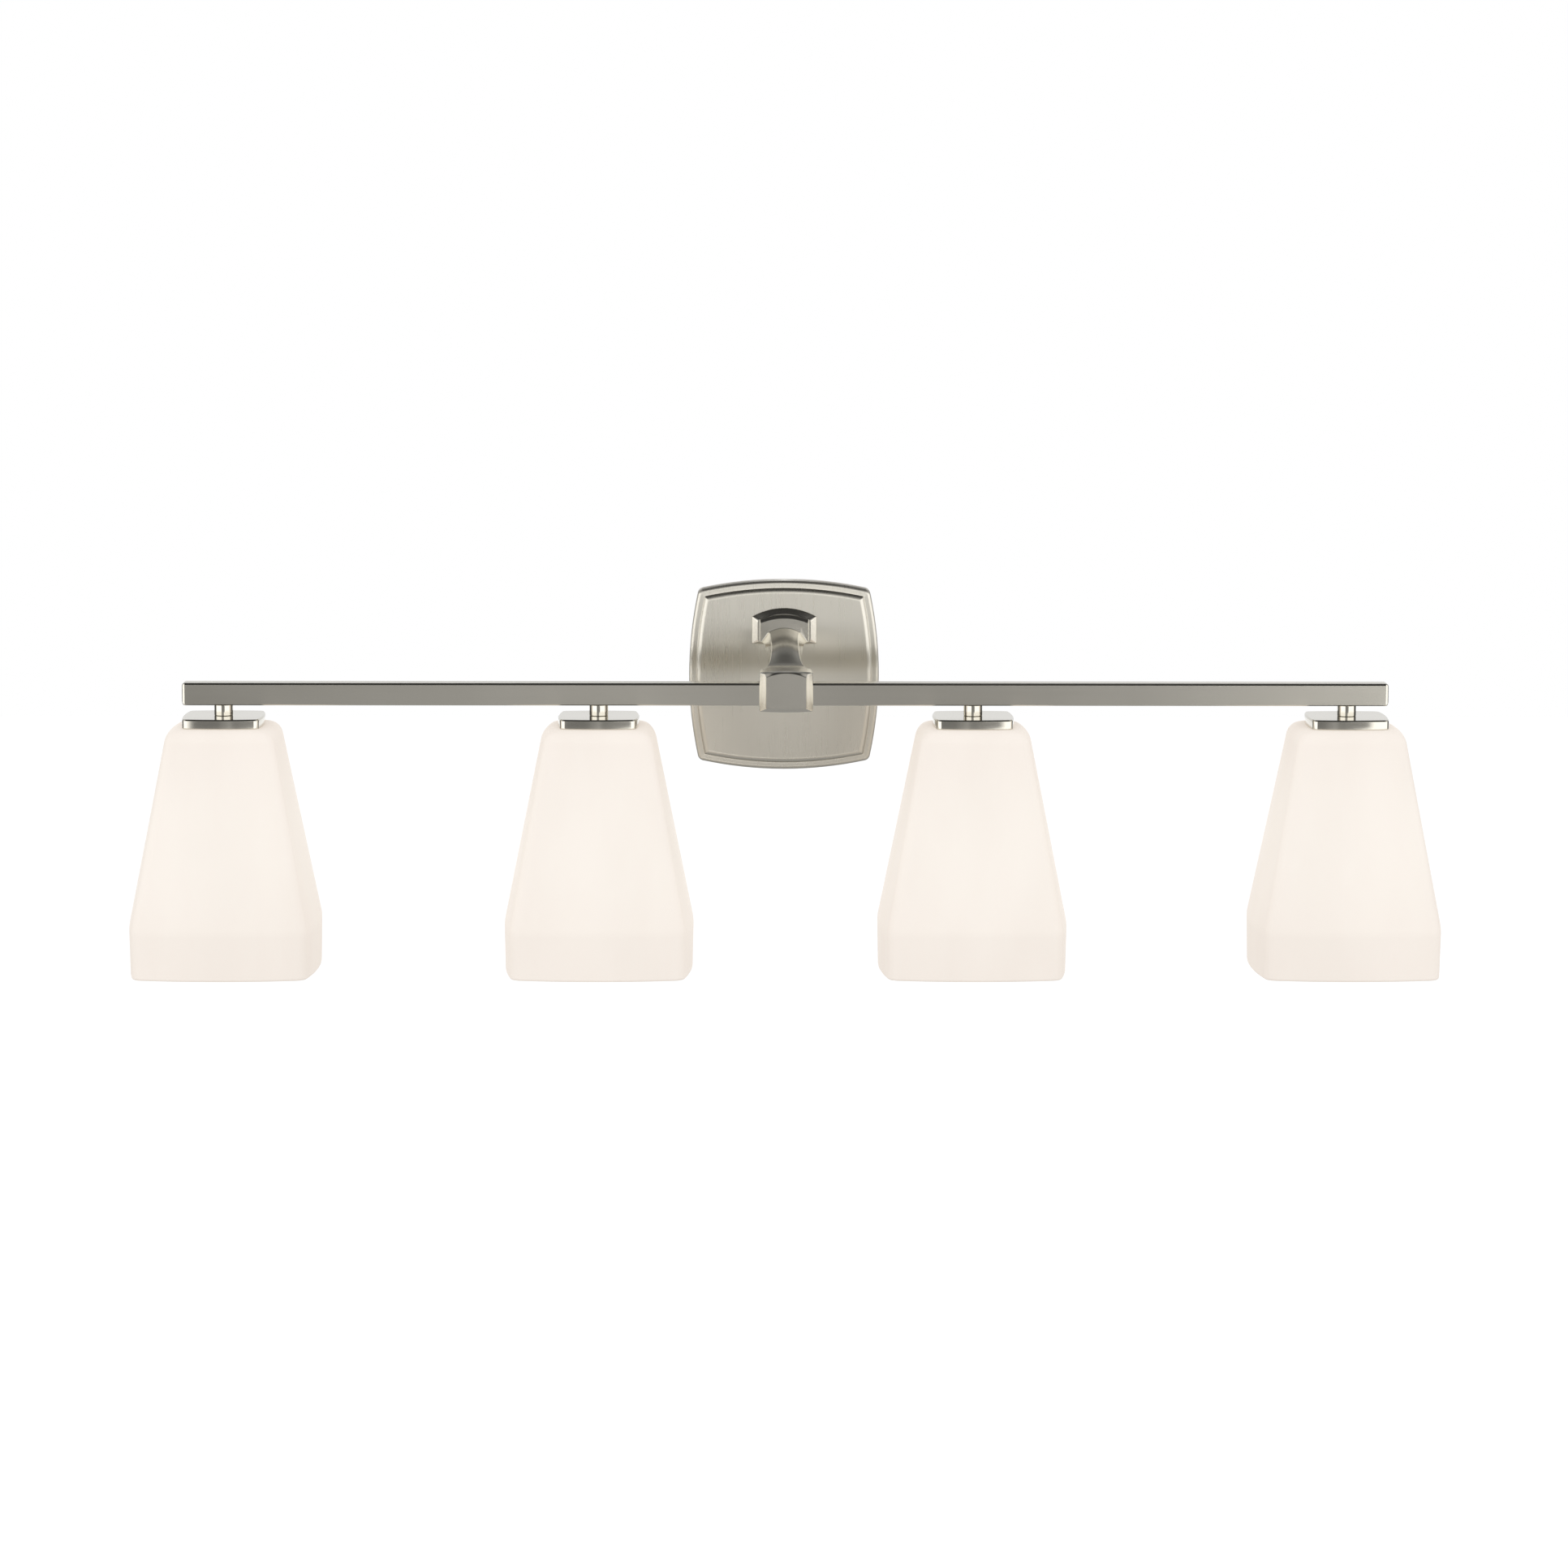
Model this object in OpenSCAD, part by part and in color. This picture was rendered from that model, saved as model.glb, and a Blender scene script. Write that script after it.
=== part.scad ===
// Wall light bar: four opal glass shades hang from a square bar, which one
// sloping cast arm carries on a bowed square backplate.
// X runs along the bar, the wall is the plane Y = 0 and the front faces -Y, +Z is up.
// The origin lies on the wall, level with the bar and at the middle of the backplate.

/* [Bar] */
// Distance between neighbouring lights
light_spacing = 240; // [180:5:300]
// Length of bar past the outer lights
bar_overhang = 24.2; // [20:0.2:60]
// Outer width and height of the square tube
bar_size = 14.3; // [13:0.1:18]
// Wall of the square tube
bar_wall = 1.2; // [0.8:0.1:1.6]
// Radius of the tube's long outer edges
bar_edge = 0.8; // [0.4:0.1:1.2]
// Height of the pillowed face of each end cap
end_cap_crown = 1.8; // [1:0.1:3]
// Depth of each end cap's plug inside the tube
end_cap_plug = 9; // [4:1:15]

/* [Arm] */
// Distance from the wall to the middle of the bar
bar_reach = 116; // [95:1:150]
// Height of the arm's foot above the bar
foot_rise = 30.5; // [26:0.5:33]
// Width of the arm's foot
foot_width = 42.6; // [38:0.2:48]
// Height of the foot's straight sides
foot_height = 18.2; // [16:0.2:22]
// Rise of the arch on top of the foot
foot_arch = 5.4; // [3:0.2:6]
// Thickness of the foot's rounded lower step
foot_step = 3.4; // [2:0.2:6]
// Width of the neck at its waist
waist_width = 22.4; // [18:0.2:26]
// Height of the neck at its waist
waist_height = 13; // [11:0.5:16]
// Width of the head that the bar passes through
head_width = 34.4; // [30:0.2:44]
// Metal over the bar in the head
head_over = 8.2; // [4:0.2:11]
// Metal under the bar in the head
head_under = 3.6; // [3:0.2:6]
// Metal in front of the bar in the head
head_front = 6; // [5:0.2:10]
// Chamfer on each side of the head's front face
head_side_chamfer = 4.4; // [2:0.2:6]
// Chamfer below the head's front face
head_edge_chamfer = 2.4; // [1:0.2:3]
// Radius of the lead passage through the arm
arm_bore_radius = 3.2; // [3:0.1:3.6]

/* [Backplate] */
// Width and height of the backplate between the middles of its sides
plate_size = 125.4; // [122:0.2:150]
// How far each side bows out past its corners
plate_bow = 6.3; // [3:0.1:8]
// Radius of the backplate's corners
plate_corner = 4.5; // [3:0.5:8]
// Depth of the backplate from the wall to its field
plate_depth = 18; // [17:0.5:30]
// Thickness of the backplate's metal
plate_wall = 2; // [1.6:0.1:2.6]
// Height of the raised field above the ledge round it
field_rise = 2.8; // [2:0.1:4]
// Width of the ledge round the field
ledge_width = 5; // [4:0.2:7]
// Width of the slope up to the field
field_slope = 3.2; // [2:0.2:5]

/* [Bracket] */
// Thickness of the bracket's steel
bracket_thick = 1.6; // [1.2:0.1:2]
// Width of the bracket's upright strap
bracket_width = 34; // [26:1:40]
// Height of the bracket's level strap
bracket_strap = 20; // [16:1:24]
// Spacing of the upper and lower box slots
tall_spacing = 88.9; // [84:0.1:92]
// Spacing of the left and right box slots
wide_spacing = 69.85; // [66:0.05:74]
// Length of each box slot from end to end
slot_length = 11; // [8:0.5:12]
// Half the width of each box slot
slot_radius = 2.4; // [2.2:0.1:2.8]

/* [Holder and stem] */
// Diameter of the stem's collar
stem_diameter = 12; // [11:0.5:16]
// Gap between the bar and the holder, which the collar fills
stem_gap = 7.1; // [4:0.1:20]
// Width of the square shade holder
holder_size = 52; // [48:0.5:58]
// Depth of the shade holder
holder_depth = 6.2; // [5:0.1:12]
// Corner radius of the shade holder
holder_corner = 6; // [3:0.5:10]
// Wall of the shade holder
holder_wall = 2; // [1.2:0.1:2.6]

/* [Shade] */
// Height of the glass
shade_height = 157; // [145:1:200]
// Width of the glass at its rim, between the middles of its sides
rim_width = 120.4; // [112:0.2:134]
// Width of the glass at the top of its skirt
skirt_width = 121.6; // [112:0.2:134]
// Height of the near-upright skirt above the rim
skirt_height = 31; // [20:1:45]
// Width of the glass at its top, before the shoulder is rounded
shoulder_width = 70.6; // [68:0.2:80]
// Radius of the shoulder
shoulder_radius = 10.5; // [8:0.5:13]
// How far each side of the glass bows out at the skirt
shade_bow = 5.6; // [3:0.1:8]
// Corner radius of the glass at the skirt
shade_corner = 8; // [5:0.5:14]
// Thickness of the glass
glass_wall = 3.4; // [2.6:0.1:4.2]
// Clearance between the glass and the socket that passes through it
fitter_clearance = 2; // [1:0.1:2.5]

/* [Lamp] */
// Outer diameter of the socket's thread
socket_diameter = 38; // [36:0.2:40]
// Length of the socket
socket_length = 40; // [38:1:42]
// Outer diameter of the ring that holds the glass
ring_diameter = 48; // [46:0.5:50]
// Height of the ring that holds the glass
ring_height = 7; // [5:0.5:10]
// Diameter of the bulb's screw base
base_diameter = 26; // [25.6:0.1:26.2]
// Diameter of the bulb
bulb_diameter = 60; // [50:1:66]
// Length of the bulb below its base
bulb_drop = 82; // [74:1:88]

/* [Hidden] */
$fn = 48;

nickel = [0.66, 0.64, 0.60];
zinc = [0.74, 0.75, 0.76];
opal = [0.97, 0.94, 0.91];
brass = [0.80, 0.66, 0.36];

fit = 0.1;            // radial clearance of a fixed piece in its hole
lamp_clearance = 0.3; // clearance round the bulb, which screws in and out
past = 1;             // how far a cutting shape runs past the face it cuts

// Levels of one light, measured from the middle of the bar
light_count = 4;
bar_half = bar_size / 2;
bar_inner = bar_size - 2 * bar_wall;
bar_length = (light_count - 1) * light_spacing + 2 * bar_overhang;
holder_top = -bar_half - stem_gap;
glass_top = holder_top - holder_depth;
rim_level = glass_top - shade_height;
socket_top = holder_top - holder_wall;
socket_roof = 8;      // solid top of the socket
socket_pitch = 4;     // from one thread ridge to the next
socket_bore = base_diameter / 2 + 1.6;
contact_thick = 1.2;
contact_radius = socket_diameter * 0.17;
shell_length = socket_length * 0.6;
contact_level = socket_top - socket_roof;
base_tip = contact_level - contact_thick - lamp_clearance;

// Stem: a turned collar with a threaded spigot at each end
spigot_radius = 4.8;
stem_bore = 3.2;
stem_nut_height = 4.6;
spigot_rise = bar_wall + stem_nut_height + 0.4;
spigot_drop = holder_wall + 6;

// Leads
lead_radius = 0.95;
lead_offset = 1.3;    // each lead's distance from the middle of its passage
bend_swell = 0.08;    // extra radius of the insulation at a bend or a splice
neutral_level = -bar_half + bar_wall + stem_nut_height + 0.4 + lead_radius + 0.6;
line_level = neutral_level + 2 * lead_offset;
branch_level = (line_level + neutral_level) / 2;

// Arm
foot_back = -plate_depth;
foot_front = foot_back - foot_step;
step_edge = 1.6;      // rounding of the upper step's front edge
neck_back = foot_front - 1.2 - step_edge;
head_back = -bar_reach + bar_half + 4;
head_face = -bar_reach - bar_half - head_front;
head_top = bar_half + head_over;
head_bottom = -bar_half - head_under;
head_arch = 0.9;      // rise of the head's arched top
face_arch = 2.6;      // rise of the arch over the head's front face
head_flare = 2.6;     // growth of each side from the back of the head to its front
foot_round = 3;       // inset of the lower step's rounded edge
step_side = 5.2;      // from the foot's side to the upper step
step_top = 1.8;       // from the foot's upper corner to the upper step
step_under = 1.4;     // from the foot's underside to the upper step
neck_start = foot_rise + 1.9;
neck_draft = 2;       // each side leans in by this much at the waist
under_drop = 6.2;     // the neck's underside sweeps down by this much to the head
boss_radius = 8;
boss_back = -plate_depth + 10;
bore_turn = foot_back - 2;

// Backplate and bracket
plate_half = plate_size / 2;
skirt_round = 2.4;
bracket_half = plate_half - plate_wall - 7;
lip_depth = 7.6;
lock_offset = 10;
lock_depth = -8;
lock_radius = 2;
lock_block = 10;      // side of the block that each locking screw turns in
rib_width = 24;       // rib that hooks on the bracket's lip
washer_radius = 12;
washer_thick = 1.2;
nut_thick = 4.6;

function light_x(i) = (i - (light_count - 1) / 2) * light_spacing;

// Arch rise that the foot's arch radius gives over another width
function arch_radius() = (pow(foot_width / 2, 2) + pow(foot_arch, 2)) / (2 * foot_arch);
function arch_over(width) = arch_radius() - sqrt(pow(arch_radius(), 2) - pow(width / 2, 2));

// Arc of points round a centre
function arc(cx, cy, r, from, to, steps) =
  [for (k = [0:steps]) let (a = from + (to - from) * k / steps) [cx + r * cos(a), cy + r * sin(a)]];

// Square outline whose four sides bow out by the same arc, with rounded corners.
// half is measured to the middle of a side, and sweep is the radius of the bow.
function bowed_square(half, sweep, corner, side_steps = 8, corner_steps = 4) =
  let (
    a = half - sweep,
    b = sweep - corner,
    c = (a + sqrt(2 * b * b - a * a)) / 2,
    turn = atan2(c, c - a),
    quarter = concat(
      arc(a, 0, sweep, -turn, turn, side_steps),
      [for (p = arc(c, c, corner, turn, 90 - turn, corner_steps)) p]
    ),
    count = len(quarter) - 1
  )
  [for (q = [0:3]) for (k = [0:count - 1]) if (k != side_steps + 1)
    let (p = quarter[k]) [p[0] * cos(90 * q) - p[1] * sin(90 * q), p[0] * sin(90 * q) + p[1] * cos(90 * q)]];

// Radius of the bow that rises by bow over a side with the given half width
function sweep_of(half, bow) = (pow(half - bow, 2) + pow(bow, 2)) / (2 * bow);

// Backplate outline, drawn in by an inset
function plate_outline(inset) = bowed_square(
  plate_half - inset, sweep_of(plate_half, plate_bow) - inset, max(plate_corner - inset, 0.8));

// Outline with upright sides, an arched top and a slightly arched bottom, as [x, z] points
function arched_outline(width, low, high, rise, draft = 0, sag = 0.6, steps = 8) =
  concat(
    [for (k = [0:steps]) let (u = 2 * k / steps - 1) [u * width / 2, low - sag * (1 - u * u)]],
    [for (k = [0:steps]) let (u = 1 - 2 * k / steps) [u * (width / 2 - draft), high - rise * u * u]]
  );

// Polyline with its inner corners rounded, as [r, z] points
function unit(v) = v / norm(v);
function rounded_path(points, radii, steps) =
  [for (k = [0:len(points) - 1])
    each (radii[k] == 0 ? [points[k]] :
      let (
        p = points[k],
        u = unit(points[k - 1] - p),
        v = unit(points[k + 1] - p),
        half_angle = acos(u * v) / 2,
        reach = radii[k] / tan(half_angle),
        centre = p + unit(u + v) * radii[k] / sin(half_angle),
        start = p + u * reach - centre,
        end = p + v * reach - centre
      )
      [for (s = [0:steps]) centre + radii[k] * unit(start * (1 - s / steps) + end * s / steps)])];

// Solid skin through a list of rings that all have the same number of points
module loft(rings) {
  n = len(rings[0]);
  last = len(rings) - 1;
  polyhedron(
    points = [for (ring = rings) each ring],
    faces = concat(
      [[for (k = [0:n - 1]) k]],
      [for (r = [0:last - 1]) for (k = [0:n - 1]) [r * n + k, (r + 1) * n + k, (r + 1) * n + (k + 1) % n]],
      [for (r = [0:last - 1]) for (k = [0:n - 1]) [r * n + k, (r + 1) * n + (k + 1) % n, r * n + (k + 1) % n]],
      [[for (k = [n - 1:-1:0]) last * n + k]]
    )
  );
}

// Ring of [x, z] points at one depth, for skins that run forward from the wall
function at_depth(outline, y) = [for (p = outline) [p[0], y, p[1]]];
// Ring of [x, y] points at one level, for skins that run upward
function at_level(outline, z) = [for (p = outline) [p[0], p[1], z]];

// Cylinder along Y that starts at y and runs forward
module forward(x, y, z, r, length) {
  translate([x, y, z]) rotate([90, 0, 0]) cylinder(r = r, h = length);
}

// Round rod through a list of points
module rod(points, r) {
  for (k = [0:len(points) - 2]) {
    run = points[k + 1] - points[k];
    translate(points[k])
      rotate([0, acos(run[2] / norm(run)), atan2(run[1], run[0])])
        cylinder(r = r, h = norm(run), $fn = 24);
  }
  for (k = [1:len(points) - 2]) translate(points[k]) sphere(r = r + bend_swell, $fn = 24);
}

module rounded_square(size, corner) {
  square([size, size - 2 * corner], center = true);
  square([size - 2 * corner, size], center = true);
  for (x = [-1, 1], y = [-1, 1]) translate([x, y] * (size / 2 - corner)) circle(r = corner);
}

module at_light(i) {
  translate([light_x(i), -bar_reach, 0]) children();
}

// Hollow cast plate. Two small blocks behind its lower edge take the locking screws,
// and a rib behind its upper edge hooks on the bracket's lip.
module backplate() {
  ledge = -plate_depth + field_rise;
  rings = concat(
    [at_depth(plate_outline(0), 0), at_depth(plate_outline(0), ledge + skirt_round)],
    [for (a = [30:30:90])
      at_depth(plate_outline(skirt_round * (1 - cos(a))), ledge + skirt_round * (1 - sin(a)))],
    [
      at_depth(plate_outline(ledge_width), ledge),
      at_depth(plate_outline(ledge_width + 0.3), ledge - field_rise * 0.35),
      at_depth(plate_outline(ledge_width + field_slope), -plate_depth)
    ]
  );
  color(nickel) {
    difference() {
      loft(rings);
      translate([0, past, 0]) rotate([90, 0, 0]) linear_extrude(past - ledge - plate_wall)
        polygon(plate_outline(plate_wall));
      translate([0, past, 0]) rotate([90, 0, 0]) linear_extrude(past + plate_depth - plate_wall)
        polygon(plate_outline(ledge_width + field_slope + plate_wall / 2));
      forward(0, 0, foot_rise, boss_radius + fit, plate_depth + past);
      for (x = [-1, 1]) lock_hole(x * lock_offset);
    }
    for (x = [-1, 1]) difference() {
      translate([x * lock_offset, lock_depth, -plate_half + plate_wall + 0.9])
        cube([lock_block, lock_block, 3], center = true);
      lock_hole(x * lock_offset);
    }
    translate([-rib_width / 2, -lip_depth + bracket_thick + 0.3, plate_half - plate_wall - 4])
      cube([rib_width, 2, 4.6]);
  }
}

module lock_hole(x) {
  translate([x, lock_depth, -plate_half - past]) cylinder(r = lock_radius + fit, h = 9);
}

// Stamped steel cross with a forward flange below and a hooked lip above
module mounting_bracket() {
  flange = 12;
  color(zinc) {
    difference() {
      union() {
        translate([-bracket_width / 2, -bracket_thick, -bracket_half])
          cube([bracket_width, bracket_thick, 2 * bracket_half]);
        translate([-wide_spacing / 2 - slot_length, -bracket_thick, -bracket_strap / 2])
          cube([wide_spacing + 2 * slot_length, bracket_thick, bracket_strap]);
      }
      for (s = [-1, 1]) {
        slot([0, s * tall_spacing / 2], true);
        slot([s * wide_spacing / 2, 0], false);
      }
      forward(0, past, ground_level, ground_shank + fit, bracket_thick + 2 * past);
    }
    translate([-bracket_width / 2, -flange, -bracket_half])
      cube([bracket_width, flange, bracket_thick]);
    translate([-bracket_width / 2, -lip_depth, bracket_half - bracket_thick])
      cube([bracket_width, lip_depth, bracket_thick]);
    translate([-bracket_width / 2, -lip_depth, bracket_half - bracket_thick])
      cube([bracket_width, bracket_thick, plate_half - plate_wall - 1.2 - bracket_half + bracket_thick]);
  }
}

module slot(centre, upright) {
  half_run = slot_length / 2 - slot_radius;
  run = upright ? [0, half_run] : [half_run, 0];
  for (s = [-1, 1])
    forward(centre[0] + s * run[0], past, centre[1] + s * run[1], slot_radius, bracket_thick + 2 * past);
  size = upright ? [2 * slot_radius, 2 * half_run] : [2 * half_run, 2 * slot_radius];
  translate([centre[0] - size[0] / 2, -bracket_thick - past, centre[1] - size[1] / 2])
    cube([size[0], bracket_thick + 2 * past, size[1]]);
}

// Headless screws through the backplate's lower edge, pressed against the bracket's flange
module locking_screws() {
  sag = sweep_of(plate_half, plate_bow) - sqrt(pow(sweep_of(plate_half, plate_bow), 2) - pow(lock_offset, 2));
  outer = -plate_half + sag + 0.3;
  color(zinc) for (x = [-1, 1]) translate([x * lock_offset, lock_depth, outer]) difference() {
    cylinder(r = lock_radius, h = -bracket_half - outer);
    translate([0, 0, -past]) cylinder(r = 1, h = past + 2, $fn = 6);
  }
}

ground_level = -20;
ground_lead_radius = 0.8;
ground_shank = 1.8;
ground_head = 4.2;
ground_head_height = 2.4;
ground_side = 24;     // distance of the ground lead's connector from the middle

// Ground screw: its head clamps the eye of the ground lead on the bracket
module ground_screw() {
  seat = -bracket_thick - 2 * ground_lead_radius;
  color("seagreen") difference() {
    union() {
      forward(0, -0.2, ground_level, ground_shank, -seat);
      forward(0, seat, ground_level, ground_head, ground_head_height);
    }
    translate([-3, seat - ground_head_height - past, ground_level - 0.5]) cube([6, 1 + past, 1]);
  }
}

module ground_lead() {
  y = -bracket_thick - ground_lead_radius;
  eye = ground_shank + fit + ground_lead_radius;
  color("peru") {
    translate([0, y, ground_level]) rotate([90, 0, 0]) rotate_extrude() translate([eye, 0])
      circle(r = ground_lead_radius - 0.02, $fn = 24);
    rod([[-eye, y, ground_level], [2 - ground_side, y, ground_level],
      [-ground_side, connector_depth, ground_level - 4],
      [-ground_side, connector_depth, ground_level - 12]], ground_lead_radius - 0.02);
  }
}

// Cast arm: stepped foot, sloping neck with a waist, and the head that the bar passes through
function blend(from, to, t) = from + (to - from) * t;

module arm() {
  foot_low = foot_rise - foot_height / 2;
  foot_high = foot_rise + foot_height / 2 + foot_arch;
  step_width = foot_width - 2 * step_side;
  step_low = foot_low + step_under;
  step_high = foot_rise + foot_height / 2 - step_top + arch_over(step_width);
  cove_width = step_width - 0.8;
  neck_end = head_width - 2 * head_flare;
  neck_bend = [blend(neck_back, head_back, 0.62), blend(neck_start, head_top, 0.44)];
  // The neck's top line: a cove down from the foot, a gentle slope, a steeper one and the flat head
  top_line = rounded_path(
    [
      [neck_back, step_high - step_edge], [neck_back - 0.4, neck_start], neck_bend,
      [head_back + 6.3, head_top], [head_back, head_top]
    ],
    [0, 6, 100, 30, 0], 4);
  foot = [for (a = [0:22.5:90])
    let (inset = foot_round * (1 - cos(a)), width = foot_width - 2 * inset)
    at_depth(arched_outline(width, foot_low + 0.4 * inset, foot_high - inset, arch_over(width)),
      foot_back - foot_step * sin(a))];
  step = [for (a = [0:30:90])
    let (inset = 1 - cos(a))
    at_depth(arched_outline(step_width - 0.8 * inset, step_low + 0.4 * inset, step_high - step_edge * inset,
      arch_over(step_width)), neck_back + step_edge * (1 - sin(a)))];
  // The neck narrows from the foot on a quarter ellipse and widens to the head on a long curve
  neck = [for (k = [1:len(top_line) - 2])
    let (
      y = top_line[k][0],
      t = (neck_back - y) / (neck_back - head_back),
      back = t < 0.27 ? 1 - sqrt(1 - pow(1 - t / 0.27, 2)) : 0,
      front = pow(max(0, (t - 0.4) / 0.6), 1.8),
      low = blend(step_low, head_bottom + under_drop, t) - under_drop * pow(max(0, (t - 0.7) / 0.3), 1.8)
    )
    at_depth(arched_outline(waist_width + (cove_width - waist_width) * back + (neck_end - waist_width) * front,
      low, top_line[k][1], blend(1, arch_over(step_width), back), neck_draft * (1 - back) * (1 - front)), y)];
  head = [
    at_depth(arched_outline(neck_end, head_bottom, head_top, head_arch), head_back),
    at_depth(arched_outline(blend(neck_end, head_width, 0.42), head_bottom, head_top, head_arch),
      blend(head_back, head_face + head_side_chamfer, 0.5)),
    at_depth(arched_outline(head_width, head_bottom, head_top, head_arch), head_face + head_side_chamfer),
    at_depth(arched_outline(head_width - 1.55 * head_side_chamfer, head_bottom + 0.78 * head_edge_chamfer,
      head_top - 0.1, blend(head_arch, face_arch, 0.7)), head_face + 0.22 * head_side_chamfer),
    at_depth(arched_outline(head_width - 2 * head_side_chamfer, head_bottom + head_edge_chamfer,
      head_top - 1.2, face_arch, 0, 0.3), head_face)
  ];
  rings = concat(
    foot,
    [at_depth(arched_outline(step_width, step_low, step_high, arch_over(step_width)), foot_front - 0.2)],
    step, neck, head
  );
  color(nickel) difference() {
    union() {
      loft(rings);
      forward(0, boss_back, foot_rise, boss_radius, boss_back - foot_back + past);
    }
    translate([-head_width, -bar_reach - bar_half - fit, -bar_half - fit])
      cube([2 * head_width, bar_size + 2 * fit, bar_size + 2 * fit]);
    forward(0, boss_back + past, foot_rise, arm_bore_radius, boss_back + past - bore_turn);
    rod([[0, bore_turn - 0.01, foot_rise + 0.01], [0, -bar_reach + bar_half - past, branch_level]],
      arm_bore_radius);
    translate([0, bore_turn, foot_rise]) sphere(r = arm_bore_radius);
    translate([0, -bar_reach, -bar_half - head_under - past])
      cylinder(r = lock_radius + fit, h = head_under + 2 * past);
  }
}

module arm_washer() {
  inner = -plate_depth + plate_wall;
  color(zinc) difference() {
    forward(0, inner + washer_thick, foot_rise, washer_radius, washer_thick);
    forward(0, inner + washer_thick + past, foot_rise, boss_radius + fit, washer_thick + 2 * past);
  }
}

module arm_nut() {
  back = -plate_depth + plate_wall + washer_thick;
  color(zinc) difference() {
    translate([0, back + nut_thick, foot_rise]) rotate([90, 0, 0])
      cylinder(r = washer_radius + 0.4, h = nut_thick, $fn = 6);
    forward(0, back + nut_thick + past, foot_rise, boss_radius + fit, nut_thick + 2 * past);
  }
}

// Headless screw under the head that stops the bar from sliding or turning
module head_screw() {
  color(zinc) translate([0, -bar_reach, -bar_half - head_under]) difference() {
    translate([0, 0, -0.4]) cylinder(r = lock_radius, h = head_under + 0.4);
    translate([0, 0, -past]) cylinder(r = 1, h = past + 1.6, $fn = 6);
  }
}

// Square tube with a hole over each stem and one behind for the leads
module bar() {
  color(nickel) translate([0, -bar_reach, 0]) difference() {
    translate([-bar_length / 2, 0, 0]) rotate([90, 0, 90]) linear_extrude(bar_length)
      difference() {
        rounded_square(bar_size, bar_edge);
        square(bar_inner, center = true);
      }
    for (i = [0:light_count - 1]) translate([light_x(i), 0, -bar_half - past])
      cylinder(r = spigot_radius + fit, h = bar_wall + 2 * past);
    forward(0, bar_half + past, branch_level, lead_offset + lead_radius + 0.3, bar_wall + 2 * past);
  }
}

// Cap with a low pillowed face and a plug that fits the tube
module end_cap(side) {
  color(nickel) translate([side * bar_length / 2, -bar_reach, 0]) mirror([side < 0 ? 1 : 0, 0, 0]) {
    rotate([90, 0, 90]) {
      linear_extrude(end_cap_crown * 0.5) rounded_square(bar_size, bar_edge);
      translate([0, 0, end_cap_crown * 0.5])
        linear_extrude(end_cap_crown * 0.3) rounded_square(bar_size - 0.8, bar_edge + 0.3);
      translate([0, 0, end_cap_crown * 0.8])
        linear_extrude(end_cap_crown * 0.2) rounded_square(bar_size - 3, bar_edge + 0.8);
    }
    plug = bar_inner - 2 * fit;
    translate([-end_cap_plug, -plug / 2, -plug / 2]) cube([end_cap_plug, plug, plug]);
  }
}

// Square nuts that can't turn inside the tube
module stem_nuts() {
  width = bar_inner - 2 * fit;
  color(zinc) for (i = [0:light_count - 1]) at_light(i) translate([0, 0, -bar_half + bar_wall])
    difference() {
      translate([-width / 2, -width / 2, 0]) cube([width, width, stem_nut_height]);
      translate([0, 0, -past]) cylinder(r = spigot_radius + fit, h = stem_nut_height + 2 * past);
    }
}

module stem(i) {
  color(nickel) at_light(i) difference() {
    union() {
      translate([0, 0, holder_top]) cylinder(r = stem_diameter / 2, h = stem_gap);
      translate([0, 0, -bar_half]) cylinder(r = spigot_radius, h = spigot_rise);
      translate([0, 0, holder_top - spigot_drop]) cylinder(r = spigot_radius, h = spigot_drop);
    }
    translate([0, 0, holder_top - spigot_drop - past])
      cylinder(r = stem_bore, h = spigot_drop + stem_gap + spigot_rise + 2 * past);
  }
}

// Square pan whose edge sits on the glass
module holder(i) {
  soft = 0.6;
  color(nickel) at_light(i) difference() {
    union() {
      translate([0, 0, glass_top]) linear_extrude(holder_depth - soft)
        rounded_square(holder_size, holder_corner);
      translate([0, 0, holder_top - soft]) linear_extrude(soft)
        rounded_square(holder_size - 2 * soft, holder_corner - soft);
    }
    translate([0, 0, glass_top - past]) linear_extrude(holder_depth - holder_wall + past)
      rounded_square(holder_size - 2 * holder_wall, max(holder_corner - holder_wall, 1));
    translate([0, 0, holder_top - holder_wall - past])
      cylinder(r = spigot_radius + fit, h = holder_wall + 2 * past);
  }
}

// Socket body with thread ridges outside and a stepped bore that opens downward
module socket(i) {
  r = socket_diameter / 2;
  root = r - 0.6;
  start = -6;
  ridges = floor((socket_length + start) / socket_pitch);
  outline = concat(
    [[spigot_radius + fit, 0], [r - 1.5, 0], [root, -1.5]],
    [for (k = [0:ridges - 1]) let (z = start - socket_pitch * k)
      each [[root, z], [r, z - 1.2], [r, z - 2], [root, z - 3.2]]],
    [[root, -socket_length + 1], [r - 1.6, -socket_length], [socket_bore, -socket_length],
      [socket_bore, -socket_roof], [spigot_radius + fit, -socket_roof]]
  );
  color("ivory") at_light(i) translate([0, 0, socket_top]) rotate_extrude() polygon(outline);
}

module screw_shells() {
  top = contact_level - contact_thick - 1;
  color(brass) for (i = [0:light_count - 1]) at_light(i) translate([0, 0, top - shell_length]) difference() {
    cylinder(r = socket_bore - fit, h = shell_length);
    translate([0, 0, -past]) cylinder(r = base_diameter / 2 + lamp_clearance, h = shell_length + 2 * past);
  }
}

module centre_contacts() {
  color(brass) for (i = [0:light_count - 1]) at_light(i)
    translate([0, 0, contact_level - contact_thick]) cylinder(r = contact_radius, h = contact_thick);
}

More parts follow.
